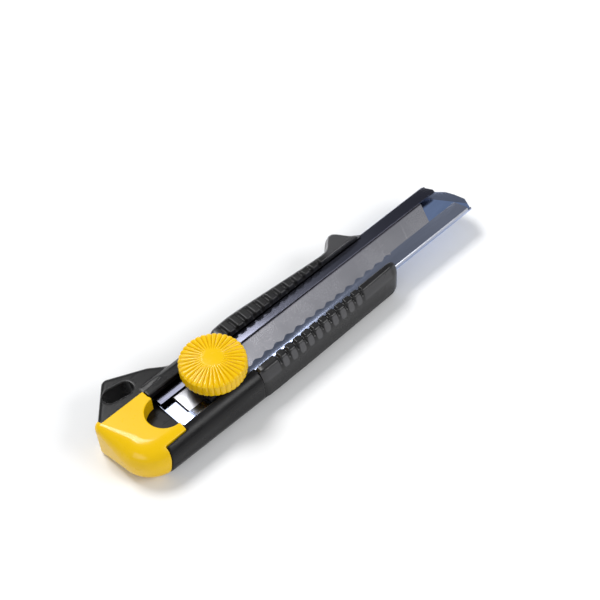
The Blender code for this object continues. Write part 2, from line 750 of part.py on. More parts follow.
def ring_solid(inner, outer, low, high, count):
    """Flat ring with a round hole, as one closed tube of four faces round."""
    bm = bmesh.new()
    corners = ((inner, low), (outer, low), (outer, high), (inner, high))
    columns = []
    for k in range(count):
        turn = math.tau * k / count
        columns.append([bm.verts.new((r * math.cos(turn), r * math.sin(turn), z)) for r, z in corners])
    for k in range(count):
        here, after = columns[k], columns[(k + 1) % count]
        for i in range(4):
            j = (i + 1) % 4
            bm.faces.new((here[i], here[j], after[j], after[i]))
    return bm


def make_washer(mat):
    bm = ring_solid(STUD_RADIUS + GAP, WASHER_RADIUS, WASHER_UNDERSIDE, WASHER_TOP, 36)
    return finish("wheel_washer", bm, mat)


def make_nut(mat):
    bm = ring_solid(STUD_RADIUS + THREAD_GAP, NUT_RADIUS, HUB_UNDERSIDE, NUT_TOP, 24)
    return finish("wheel_nut", bm, mat)


def make_wheel(mat):
    """Domed top with radial flutes that run on down the rim; hollow underneath, with a hub."""
    edge_radius = WHEEL_RADIUS - WHEEL_EDGE
    edge_top = WHEEL_TOP - WHEEL_DROP
    # (radius, z, groove inward, groove down)
    rings = [
        (WHEEL_RADIUS - WHEEL_FOOT, WHEEL_UNDERSIDE, 0.6, 0.0),
        (WHEEL_RADIUS, WHEEL_UNDERSIDE + WHEEL_FOOT, 1.0, 0.0),
        (WHEEL_RADIUS, edge_top - WHEEL_EDGE, 1.0, 0.0),
        (WHEEL_RADIUS - WHEEL_EDGE * 0.3, edge_top - WHEEL_EDGE * 0.4, 0.8, 0.5),
        (edge_radius, edge_top, 0.2, 1.0),
    ]
    for share, down in WHEEL_DOME:
        radius = edge_radius * share
        rings.append((radius, WHEEL_TOP - WHEEL_DROP * share**2, 0.0, down))
    per_flute = 4
    count = FLUTES * per_flute
    sections = []
    for radius, z, inward, down in rings:
        ring = []
        for k in range(count):
            turn = math.tau * k / count
            groove = FLUTE_DEPTH * (0.5 - 0.5 * math.cos(math.tau * k / per_flute))
            r = radius - groove * inward
            ring.append((r * math.cos(turn), r * math.sin(turn), z - groove * down))
        sections.append(ring)
    wheel = finish("thumb_wheel", loft(sections), mat)
    rim_pocket = ring_solid(HUB_RADIUS, RIM_INNER_RADIUS, BELOW_ALL, RIM_POCKET_TOP, 48)
    boolean(wheel, tool("cut_rim_pocket", rim_pocket), "DIFFERENCE")
    hub = cylinder(HUB_RADIUS, HUB_UNDERSIDE, RIM_POCKET_TOP + HUB_OVERLAP, count=48)
    boolean(wheel, tool("add_hub", hub), "UNION")
    nut_pocket = cylinder(NUT_RADIUS + GAP, BELOW_ALL, NUT_TOP + GAP, count=24)
    boolean(wheel, tool("cut_nut_pocket", nut_pocket), "DIFFERENCE")
    stud_space = cylinder(STUD_SPACE_RADIUS, BELOW_ALL, STUD_SPACE_TOP, count=24)
    boolean(wheel, tool("cut_stud_space", stud_space), "DIFFERENCE")
    return wheel


def main():
    clear_scene()
    black = material("black_plastic", (0.018, 0.018, 0.02), 0.35)
    rubber = material("black_rubber", (0.025, 0.025, 0.027), 0.6)
    steel = material("channel_steel", (0.33, 0.36, 0.42), 0.25, 1.0)
    blade_steel = material("blade_steel", (0.5, 0.5, 0.52), 0.35, 1.0)
    zinc = material("zinc_steel", (0.6, 0.6, 0.6), 0.35, 1.0)
    brass = material("brass", (0.75, 0.55, 0.25), 0.35, 1.0)
    yellow = material("yellow_plastic", (0.9, 0.58, 0.01), 0.28)

    make_handle(black)
    make_end_cap(yellow)
    left_grooves = groove_stations(LEFT_GROOVES_START, LEFT_GROOVES)
    right_grooves = groove_stations(RIGHT_GROOVES_START, RIGHT_GROOVES)
    make_grip("grip_left", LEFT_WIDTHS, LEFT_GRIP, left_grooves, 1, rubber)
    make_grip("grip_right", RIGHT_WIDTHS, RIGHT_GRIP, right_grooves, -1, rubber)
    make_channel(steel)
    make_rivets(zinc)
    make_blade(blade_steel)
    make_holder(zinc)
    make_stud(zinc)
    make_saddle(black)
    make_washer(zinc)
    make_nut(brass)
    make_wheel(yellow)


main()
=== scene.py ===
import math

import bmesh
import bpy
from mathutils import Matrix, Vector


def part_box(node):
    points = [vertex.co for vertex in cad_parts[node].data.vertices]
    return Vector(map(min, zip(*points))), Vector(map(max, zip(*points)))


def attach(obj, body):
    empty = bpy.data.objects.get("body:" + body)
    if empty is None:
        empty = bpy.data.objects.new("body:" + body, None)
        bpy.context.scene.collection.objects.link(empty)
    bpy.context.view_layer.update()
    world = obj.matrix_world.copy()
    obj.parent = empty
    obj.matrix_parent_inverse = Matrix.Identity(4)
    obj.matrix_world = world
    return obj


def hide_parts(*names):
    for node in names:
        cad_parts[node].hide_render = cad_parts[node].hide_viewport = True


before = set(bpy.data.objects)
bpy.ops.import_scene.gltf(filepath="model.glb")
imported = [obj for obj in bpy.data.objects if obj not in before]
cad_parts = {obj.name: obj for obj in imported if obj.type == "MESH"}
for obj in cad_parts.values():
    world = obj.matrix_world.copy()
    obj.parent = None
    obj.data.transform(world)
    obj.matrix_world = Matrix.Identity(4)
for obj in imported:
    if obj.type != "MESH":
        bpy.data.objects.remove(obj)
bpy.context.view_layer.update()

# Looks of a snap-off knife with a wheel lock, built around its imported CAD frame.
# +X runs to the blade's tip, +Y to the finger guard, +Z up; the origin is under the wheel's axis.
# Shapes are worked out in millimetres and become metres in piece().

MM = 0.001
GAP = 0.3  # clearance between neighbouring pieces

# How far cutters reach when they open upwards, downwards, backwards, forwards or sideways
ABOVE_ALL = 20.0
BELOW_ALL = -5.0
BEHIND_ALL = -60.0
FRONT_OF_ALL = 150.0
BESIDE_ALL = 30.0
BESIDE_CHANNEL = 20.0

# Handle and end cap: plan corners as (x, y, plan radius, top edge radius, bottom edge radius)
HANDLE_TOP = 15.5
HANDLE_FRONT = 78.0
HANDLE_REAR = -42.3
HANDLE_CORNERS = (
    (HANDLE_FRONT, 12.2, 3.0, 2.5, 2.5),
    (60.0, 12.9, 40.0, 4.2, 3.5),
    (20.0, 15.9, 150.0, 4.5, 3.5),
    (HANDLE_REAR, 13.9, 3.0, 2.5, 1.8),
    (HANDLE_REAR, -13.4, 12.5, 7.5, 6.3),
    (30.0, -13.3, 80.0, 4.5, 3.5),
    (HANDLE_FRONT, -12.2, 3.0, 2.5, 2.5),
)
PLAN_SEGMENTS = 18
EDGE_SEGMENTS = 12

# Half widths of the handle at the grips, as (x, half width)
LEFT_WIDTHS = ((20.0, 15.9), (60.0, 12.9), (HANDLE_FRONT, 12.2))
RIGHT_WIDTHS = ((-31.0, 13.4), (30.0, 13.3), (HANDLE_FRONT, 12.2))

# Trough for the steel channel, the tail loop, and the cap's zone, plug, recess and spigot
RAIL_INNER = 8.5
TROUGH_FLOOR = 9.2
TROUGH_WIDTH = 10.6
RAIL_UNDERSIDE = 12.8
LOOP_CORNERS = (
    (4.0, 8.0, 2.0, 1.4, 1.4),
    (2.0, 13.2, 2.0, 1.4, 1.4),
    (-8.0, 15.6, 6.0, 1.4, 1.4),
    (-13.5, 20.0, 8.0, 1.4, 1.4),
    (-27.8, 27.0, 2.5, 1.4, 1.4),
    (-41.2, 12.6, 2.0, 1.4, 1.4),
    (-40.6, 8.0, 2.0, 1.4, 1.4),
)
LOOP_UNDERSIDE = 5.0
LOOP_TOP = 13.2
RAMP_FOOT = -21.0
RAMP_HEAD = -11.0
RAMP_TOP = 16.0
SLOT_CENTRE = Vector((-27.2, 18.7))
SLOT_LENGTH = 11.0
SLOT_WIDTH = 5.4
SLOT_ANGLE = math.radians(-11.0)
CAP_LEFT = 11.4
CAP_ARM_RIGHT = -10.0
CAP_ARM_END = -21.5
CAP_ARM_STEP = 0.6  # the left arm is shorter by this much
CAP_SEAM_TOP = -30.5
CAP_SEAM_BOTTOM = -33.9
CAP_ARM_UNDERSIDE = 12.6
CAP_WRAP_FRONT = -39.8  # behind this the cap goes round the handle's left rear corner
CAP_WRAP_LEFT = 14.0
CAP_PLUG_WIDTH = 8.2
RECESS_CENTRE_X = -21.8
RECESS_RADIUS = 7.0
RECESS_UNDERSIDE = 5.0
SPIGOT_CORNERS = ((-24.0, 9.0, 0.0), (-39.5, 9.0, 2.0), (-39.5, -9.0, 8.0), (-24.0, -9.0, 0.0))
SPIGOT_UNDERSIDE = 2.2
HANDLE_VOXEL = 0.35
CAP_VOXEL = 0.16
MOULD_ROUNDS = 2

# Rubber grips: a wall down the handle's side and a flat-topped rail over the channel's lip
GRIP_REAR = 10.5
GRIP_WALL = 1.6
GRIP_WALL_INNER = 10.7
GRIP_UNDERSIDE = 3.0
GRIP_RAIL_INNER = 8.8
GRIP_TOP = 15.4
GRIP_EDGE = 1.7
GRIP_LEAN_FOOT = 11.2
GRIP_WALL_END = 78.2  # only the rail goes on in front of this
GRIP_INNER_ROUND = 0.55
GRIP_TOP_ROUND = 0.9
GRIP_FOOT_ROUND = 1.6
GRIP_ROUND_WIDTH = 2.2  # a rail narrower or lower than these has smaller roundings
GRIP_ROUND_HEIGHT = 2.0
GRIP_SIDE_COUNTS = (3, 10, 12, 5)
GRIP_ROUND_STEPS = 6

# Cross grooves of the grips, and the oval pads and edge line that get a painted sheen; pairs are where a
# change starts and ends
GROOVE_PITCH = 4.04
GROOVE_DEPTH = 0.85
GROOVE_MOUTH = 1.9
GROOVE_FULLNESS = 0.8  # below 1 the groove's sides are steeper
GROOVE_FADE = (-1.3, -0.3)  # the left grip's grooves fade out here, measured from its top edge
STATION_STEP = 0.14
SIDE_FOOT = (10.3, 11.3)  # grooves on the leaning side begin between these heights
PAD_HALF_LENGTH = 1.35
PAD_MIDDLE = 12.9
PAD_HALF_HEIGHT = 2.1
PAD_EDGE = (0.5, 1.15)
END_PAD_EDGE = (0.4, 1.1)
END_PAD_FOOT = (10.3, 11.4)
END_PAD_HEAD = (14.7, 15.1)
END_PAD_SHINE = 0.55
PADS_END = (74.0, 75.5)
GUARD_START = (60.0, 66.0)
GUARD_FOOT = (13.5, 15.0)
GUARD_SHINE = 0.7
EDGE_LINE_INSIDE = (-0.8, -0.2)  # the painted highlight line along the left grip, measured from its top edge
EDGE_LINE_OUTSIDE = (0.3, 0.9)
EDGE_LINE_SHINE = (1.5, 2.0)
LEFT_GROOVES = 12
LEFT_GROOVES_START = 14.45
RIGHT_GROOVES = 11
RIGHT_GROOVES_START = 19.2

# Stations along each grip as (x, half width at the side, height of the top)
LEFT_GRIP = (
    (10.5, 15.4, 14.7),
    (11.4, 15.8, 15.2),
    (12.8, 16.0, GRIP_TOP),
    (20.0, 16.3, GRIP_TOP),
    (40.0, 14.7, GRIP_TOP),
    (60.0, 13.1, GRIP_TOP),
    (64.5, 13.2, GRIP_TOP),
    (66.5, 14.3, GRIP_TOP),
    (68.5, 16.1, GRIP_TOP),
    (70.0, 17.3, GRIP_TOP),
    (71.2, 17.6, GRIP_TOP),
    (72.5, 17.1, GRIP_TOP),
    (74.0, 15.3, 15.3),
    (75.5, 13.4, 15.0),
    (77.0, 12.0, 14.6),
    (77.9, 11.4, 14.3),
    (78.5, 10.9, 14.0),
    (79.4, 10.1, 13.6),
    (80.2, 9.4, 13.3),
)
RIGHT_GRIP = (
    (10.5, 12.9, 14.7),
    (11.4, 13.3, 15.2),
    (12.8, 13.5, GRIP_TOP),
    (30.0, 13.4, GRIP_TOP),
    (60.0, 12.9, GRIP_TOP),
    (74.5, 12.5, GRIP_TOP),
    (76.0, 12.3, 15.1),
    (77.2, 11.8, 14.5),
    (78.0, 11.3, 13.8),
)

# Folded steel channel
CHANNEL_HALF = 10.3
CHANNEL_TOP = 12.5
CHANNEL_BASE = 9.5
WALL_MIDDLE = 10.9  # the flat part of the channel's outer walls, between the bends that get a painted highlight
WALL_HALF = 0.85
STEEL = 0.6
CHANNEL_BEND = 1.0
CHANNEL_STOCK_FRONT = 130.0
LIP_MOUTH_LEFT = 4.7
LIP_MOUTH_RIGHT = 4.4
LIP_EDGE = 0.08
LIP_DROP = 0.25  # the lips fall by this much towards their bends
LIP_ROOM = 0.13  # the lips are thinner by this much at the bend, to clear the blade

# Detent wave along the right lip's edge
WAVE_PITCH = 5.0
WAVE_FIRST = -5.7
WAVES = 18
WAVE_MIDDLE = 4.65
WAVE_HEIGHT = 0.5
WAVE_STEPS = 24

# Ends of the channel; the floor's tip is bent down along the fold
CHANNEL_REAR = -20.0
FLOOR_NOSE = ((115.8, 10.8), (118.0, 6.2), (120.8, 3.1), (122.0, -0.4), (122.8, -4.6), (119.8, -10.8))
LIP_NOSE = ((114.0, 10.8), (116.4, 5.9), (115.9, 4.2), (116.8, -4.2), (118.3, -9.5), (118.0, -10.8))
NOSE_FOLD = ((114.1, 4.1), (118.3, -2.2))
NOSE_FALL = 0.07
RIVET_PLACES = (30.0, 64.0)
RIVET_CUT_LOW = 5.0
RIVET_CUT_RISE = 0.5
RIVET_HOLE = 2.5

# Blade
BLADE_HALF = 9.0
BLADE_UNDERSIDE = 11.2
BLADE_TOP = 11.7
BLADE_TIP = 110.7
BLADE_LENGTH = 101.2
BLADE_SLANT = 10.0
BEVEL_WIDTH = 1.3
CUTTING_EDGE = 0.04  # half of the flat left along the edge
SEGMENT_LENGTH = 12.0
SCORES = 7
SCORE_WIDTH = 0.14
SCORE_DEPTH = 0.03
PEG_PLACE = (9.5, 0.0)
PEG_HOLE_RADIUS = 1.3

# Thumb wheel, its hollow underside, and the stud's thread
WHEEL_RADIUS = 11.65
WHEEL_UNDERSIDE = 17.4
WHEEL_TOP = 23.6
WHEEL_DROP = 1.0
WHEEL_EDGE = 1.1
FLUTES = 36
RIM_FLUTE = 0.32
TOP_FLUTE = 0.5
# Rim from below as (inset, rise, flute depth)
WHEEL_RIM = ((0.5, 0.0, 0.15), (0.12, 0.15, 0.25), (0.0, 0.5, RIM_FLUTE), (0.0, 2.0, RIM_FLUTE))
WHEEL_EDGE_STEPS = 9
FLUTE_STEPS = 12
FLUTE_SHARPNESS = 1.5
FLUTES_END = 0.33  # share of the radius inside which the top is smooth
FLUTES_FADE = 0.35
DOME_SHARES = (0.93, 0.86, 0.79, 0.72, 0.65, 0.58, 0.51, 0.44, 0.38, 0.33, 0.28, 0.2, 0.1)
HUB_RADIUS = 6.2
HUB_UNDERSIDE = 16.4
HUB_CHAMFER = 0.2
RIM_CHAMFER = 0.3
RIM_INNER = 9.6
POCKET_TOP = 20.4
NUT_POCKET_RADIUS = 4.3
NUT_POCKET_TOP = 20.3
STUD_SPACE_RADIUS = 2.9
STUD_SPACE_TOP = 21.0
THREAD_PITCH = 1.0
THREAD_DEPTH = 0.35
THREAD_COUNT = 48
THREAD_STEPS = 10
STUD_RADIUS = 2.5
STUD_FLANGE_RADIUS = 3.2
STUD_FLANGE = (11.2, 11.7)
STUD_CHAMFER = 0.5


# ---------------------------------------------------------------- mesh helpers

def fillet(corners, segments):
    """Plan points of a polygon whose corners (x, y, radius, *rest) are rounded; rest is kept."""
    points = []
    for i, (x, y, radius, *rest) in enumerate(corners):
        here = Vector((x, y))
        before = Vector(corners[i - 1][:2]) - here
        after = Vector(corners[(i + 1) % len(corners)][:2]) - here
        if radius <= 0:
            points.append((x, y, *rest))
            continue
        before.normalize()
        after.normalize()
        half = before.angle(after) / 2
        setback = radius / math.tan(half)
        centre = here + (before + after).normalized() * (radius / math.sin(half))
        start = here + before * setback - centre
        end = here + after * setback - centre
        sweep = start.angle_signed(end)
        steps = max(2, round(segments * abs(sweep) / (math.pi / 2)))
        for k in range(steps + 1):
            arm = Matrix.Rotation(-sweep * k / steps, 2) @ start
            points.append((centre.x + arm.x, centre.y + arm.y, *rest))
    return points


def loft(sections, closed=False):
    """Closed solid through rings of 3-D points; closed joins the last ring to the first."""
    bm = bmesh.new()
    rings = [[bm.verts.new(p) for p in section] for section in sections]
    pairs = list(zip(rings, rings[1:] + rings[:1])) if closed else list(zip(rings, rings[1:]))
    for low, high in pairs:
        for i in range(len(low)):
            j = (i + 1) % len(low)
            bm.faces.new((low[i], low[j], high[j], high[i]))
    if not closed:
        bm.faces.new(rings[0])
        bm.faces.new(rings[-1])
    bmesh.ops.recalc_face_normals(bm, faces=bm.faces)
    return bm


def prism(outline, low, high, axis="Z"):
    """Extrude a polygon from low to high: XY points along Z, XZ points along Y, YZ along X."""
    place = {
        "Z": lambda a, b, c: (a, b, c),
        "Y": lambda a, b, c: (a, c, b),
        "X": lambda a, b, c: (c, a, b),
    }[axis]
    return loft([[place(p[0], p[1], level) for p in outline] for level in (low, high)])


def box(x0, x1, y0, y1, z0, z1):
    return prism(((x0, y0), (x1, y0), (x1, y1), (x0, y1)), z0, z1)


def cylinder(radius, low, high, centre=(0.0, 0.0), count=64):
    ring = [(centre[0] + radius * math.cos(math.tau * k / count),
             centre[1] + radius * math.sin(math.tau * k / count)) for k in range(count)]
    return prism(ring, low, high)


def cushion(corners, low, high, plan_segments, edge_segments):
    """Plate with a rounded plan; each corner also gives the radius of its top and bottom edges."""
    outline = fillet(corners, plan_segments)
    count = len(outline)
    inward = []
    for i in range(count):
        before, here, after = (Vector(outline[j % count][:2]) for j in (i - 1, i, i + 1))
        edge = (here - before).normalized() + (after - here).normalized()
        inward.append(Vector((-edge.y, edge.x)).normalized())
    sections = []
    for level in range(2 * edge_segments + 2):
        below = level <= edge_segments
        turn = edge_segments - level if below else level - edge_segments - 1
        angle = math.pi / 2 * turn / edge_segments
        ring = []
        for (x, y, top, bottom), normal in zip(outline, inward):
            radius = bottom if below else top
            inset = radius * (1 - math.cos(angle))
            rise = radius * (1 - math.sin(angle))
            z = low + rise if below else high - rise
            ring.append((x + normal.x * inset, y + normal.y * inset, z))
        sections.append(ring)
    return loft(sections)


def temporary(shape):
    """Object, still in millimetres, that only lives while a shape is worked out."""
    if isinstance(shape, bmesh.types.BMesh):
        mesh = bpy.data.meshes.new("temporary")
        shape.to_mesh(mesh)
        shape.free()
    else:
        mesh = shape
    obj = bpy.data.objects.new("temporary", mesh)
    bpy.context.scene.collection.objects.link(obj)
    return obj


def baked(obj, helpers=()):
    """Mesh of an object with its modifiers applied; the object and its helpers are removed."""
    depsgraph = bpy.context.evaluated_depsgraph_get()
    mesh = bpy.data.meshes.new_from_object(obj.evaluated_get(depsgraph))
    for used in (obj, *helpers):
        bpy.data.objects.remove(used, do_unlink=True)
    return mesh


def carved(shape, *steps):
    """Boolean chain: each step is (operation, bmesh)."""
    obj = temporary(shape)
    helpers = []
    for operation, other in steps:
        helper = temporary(other)
        change = obj.modifiers.new(operation, "BOOLEAN")
        change.operation = operation
        change.object = helper
        change.solver = "EXACT"
        helpers.append(helper)
    return baked(obj, helpers)


def moulded(shape, voxel, rounds):
    """Fine even mesh with every edge slightly rounded, as a mould leaves it."""
    obj = temporary(shape)
    remesh = obj.modifiers.new("remesh", "REMESH")
    remesh.mode = "VOXEL"
    remesh.voxel_size = voxel
    smooth = obj.modifiers.new("smooth", "SMOOTH")
    smooth.factor = 0.5
    smooth.iterations = rounds
    return baked(obj)


def bevelled(shape, width, segments=2, angle=40.0):
    """Bevels every sharp edge and marks the new faces in a float face attribute; the channel's material
    paints a highlight there.
    """
    obj = temporary(shape)
    bevel = obj.modifiers.new("bevel", "BEVEL")
    bevel.width = width
    bevel.segments = segments
    bevel.limit_method = "ANGLE"
    bevel.angle_limit = math.radians(angle)
    bevel.material = 1
    for _ in range(2):
        obj.data.materials.append(None)
    mesh = baked(obj)
    edge_lightening = mesh.attributes.new("bevel_glint", "FLOAT", "FACE")
    for face in mesh.polygons:
        edge_lightening.data[face.index].value = float(face.material_index)
        face.material_index = 0
    return mesh


def cad_shape(node):
    """A CAD node's shape in millimetres, with its flat faces joined up again."""
    bm = bmesh.new()
    bm.from_mesh(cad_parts[node].data)
    bmesh.ops.scale(bm, vec=(1 / MM,) * 3, verts=bm.verts)
    bmesh.ops.remove_doubles(bm, verts=bm.verts, dist=0.001)
    bmesh.ops.dissolve_limit(bm, angle_limit=math.radians(1.0), verts=bm.verts, edges=bm.edges)
    return bm


def piece(name, shape, surface, body, node, sharp=None):
    """Finished piece that stands for a CAD node."""
    obj = temporary(shape)
    obj.name = name
    obj.data.name = name
    obj.data.transform(Matrix.Scale(MM, 4))
    obj.data.shade_smooth()
    if sharp:
        obj.data.set_sharp_from_angle(angle=math.radians(sharp))
    obj.data.materials.clear()
    obj.data.materials.append(surface)
    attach(obj, body)
    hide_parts(node)
    return obj


def mix(a, b, share):
    return a + (b - a) * share


def width_at(table, x):
    """Straight-line interpolation in a table of (x, width)."""
    if x <= table[0][0]:
        return table[0][1]
    for (x0, w0), (x1, w1) in zip(table, table[1:]):
        if x <= x1:
            return mix(w0, w1, (x - x0) / (x1 - x0))
    return table[-1][1]


def curve_at(table, x):
    """Smooth curve through the points of a table of (x, width)."""
    for i in range(len(table) - 1):
        if x <= table[i + 1][0]:
            break
    (x0, w0), (x1, w1) = table[i], table[i + 1]
    before = table[max(i - 1, 0)]
    after = table[min(i + 2, len(table) - 1)]
    slope0 = (w1 - before[1]) / (x1 - before[0])
    slope1 = (after[1] - w0) / (after[0] - x0)
    span = x1 - x0
    t = min(max((x - x0) / span, 0.0), 1.0)
    return ((2 * t**3 - 3 * t**2 + 1) * w0 + (t**3 - 2 * t**2 + t) * span * slope0
            + (3 * t**2 - 2 * t**3) * w1 + (t**3 - t**2) * span * slope1)


# ---------------------------------------------------------------- materials

class Surface:
    """One procedural material: a Principled shader and the nodes that drive it."""

    def __init__(self, name, **uniform):
        self.material = bpy.data.materials.new(name)
        self.material.use_nodes = True
        self.tree = self.material.node_tree
        self.shader = self.tree.nodes["Principled BSDF"]
        for socket, value in uniform.items():
            self.shader.inputs[socket.replace("_", " ")].default_value = value
        self.place = self.add("ShaderNodeTexCoord").outputs["Object"]
        self.shape = self.add("ShaderNodeNewGeometry")

    def add(self, kind, inputs=None, **settings):
        node = self.tree.nodes.new(kind)
        for key, value in settings.items():
            setattr(node, key, value)
        for key, value in (inputs or {}).items():
            if isinstance(value, bpy.types.NodeSocket):
                self.tree.links.new(value, node.inputs[key])
            else:
                node.inputs[key].default_value = value
        return node

    def noise(self, size, stretch=(1.0, 1.0, 1.0), detail=3.0, roughness=0.5):
        """Noise whose features are about size millimetres across, longer along a stretched axis."""
        scale = tuple(1 / (size * MM * s) for s in stretch)
        place = self.add("ShaderNodeMapping", {"Vector": self.place, "Scale": scale})
        node = self.add("ShaderNodeTexNoise", {
            "Vector": place.outputs[0], "Scale": 1.0, "Detail": detail, "Roughness": roughness})
        return node.outputs["Fac"]

    def remap(self, value, from_low, from_high, low, high):
        node = self.add("ShaderNodeMapRange", {
            "Value": value, "From Min": from_low, "From Max": from_high, "To Min": low, "To Max": high})
        return node.outputs[0]

    def math(self, operation, a, b):
        return self.add("ShaderNodeMath", {0: a, 1: b}, operation=operation).outputs[0]

    def blend(self, share, a, b):
        a = (*a, 1.0) if isinstance(a, tuple) else a
        b = (*b, 1.0) if isinstance(b, tuple) else b
        return self.add("ShaderNodeMix", {0: share, 6: a, 7: b}, data_type="RGBA").outputs[2]

    def edges(self, low, high):
        """0 on flat and hollow ground, 1 on convex edges."""
        return self.remap(self.shape.outputs["Pointiness"], low, high, 0.0, 1.0)

    def bump(self, *layers):
        """Layers of (height, depth in millimetres)."""
        normal = None
        for height, depth in layers:
            inputs = {"Height": height, "Distance": depth * MM, "Strength": 1.0}
            if normal:
                inputs["Normal"] = normal
            normal = self.add("ShaderNodeBump", inputs).outputs[0]
        self.tree.links.new(normal, self.shader.inputs["Normal"])

    def drive(self, socket, value):
        self.tree.links.new(value, self.shader.inputs[socket])


def black_plastic():
    s = Surface("handle_plastic_black", IOR=1.49, Specular_IOR_Level=0.21)
    cloud = s.noise(7.0)
    grain = s.noise(0.22, detail=2.0)
    scuffs = s.noise(1.2, stretch=(9.0, 1.0, 1.0), detail=4.0)
    # Lighter convex edges: edge wear
    edge_lightening = s.edges(0.53, 0.62)
    tone = s.blend(cloud, (0.0065, 0.0064, 0.0070), (0.0105, 0.0100, 0.0106))
    s.drive("Base Color", s.blend(s.math("MULTIPLY", edge_lightening, 0.5), tone, (0.03, 0.03, 0.031)))
    rough = s.remap(s.math("ADD", cloud, s.math("MULTIPLY", scuffs, 0.6)), 0.5, 1.1, 0.24, 0.34)
    s.drive("Roughness", s.math("SUBTRACT", rough, s.math("MULTIPLY", edge_lightening, 0.06)))
    s.bump((grain, 0.012), (scuffs, 0.008))
    return s.material


def black_rubber():
    s = Surface("grip_rubber_black", IOR=1.5, Specular_IOR_Level=0.34)
    cloud = s.noise(5.0)
    grain = s.noise(0.16, detail=3.0)
    pores = s.noise(0.45, detail=1.0)
    crest = s.edges(0.5, 0.56)
    # The grip attribute paints light: up to 1 a painted sheen on the right grip's pads, from 1 to 2 a painted
    # highlight along the left grip's edge
    sheen_level = s.add("ShaderNodeAttribute", attribute_name="painted_sheen").outputs["Fac"]
    tone = s.blend(cloud, (0.0065, 0.0063, 0.0068), (0.0110, 0.0106, 0.0110))
    tone = s.blend(s.remap(sheen_level, 0.0, 1.0, 0.0, 1.0), tone, (0.072, 0.071, 0.075))
    tone = s.blend(s.remap(sheen_level, 1.0, 2.0, 0.0, 1.0), tone, (0.21, 0.21, 0.22))
    s.drive("Base Color", s.blend(s.math("MULTIPLY", crest, 0.4), tone, (0.028, 0.028, 0.030)))
    rough = s.remap(cloud, 0.3, 0.7, 0.26, 0.34)
    s.drive("Roughness", s.math("SUBTRACT", rough, s.math("MULTIPLY", crest, 0.06)))
    s.bump((grain, 0.02), (pores, 0.012))
    return s.material


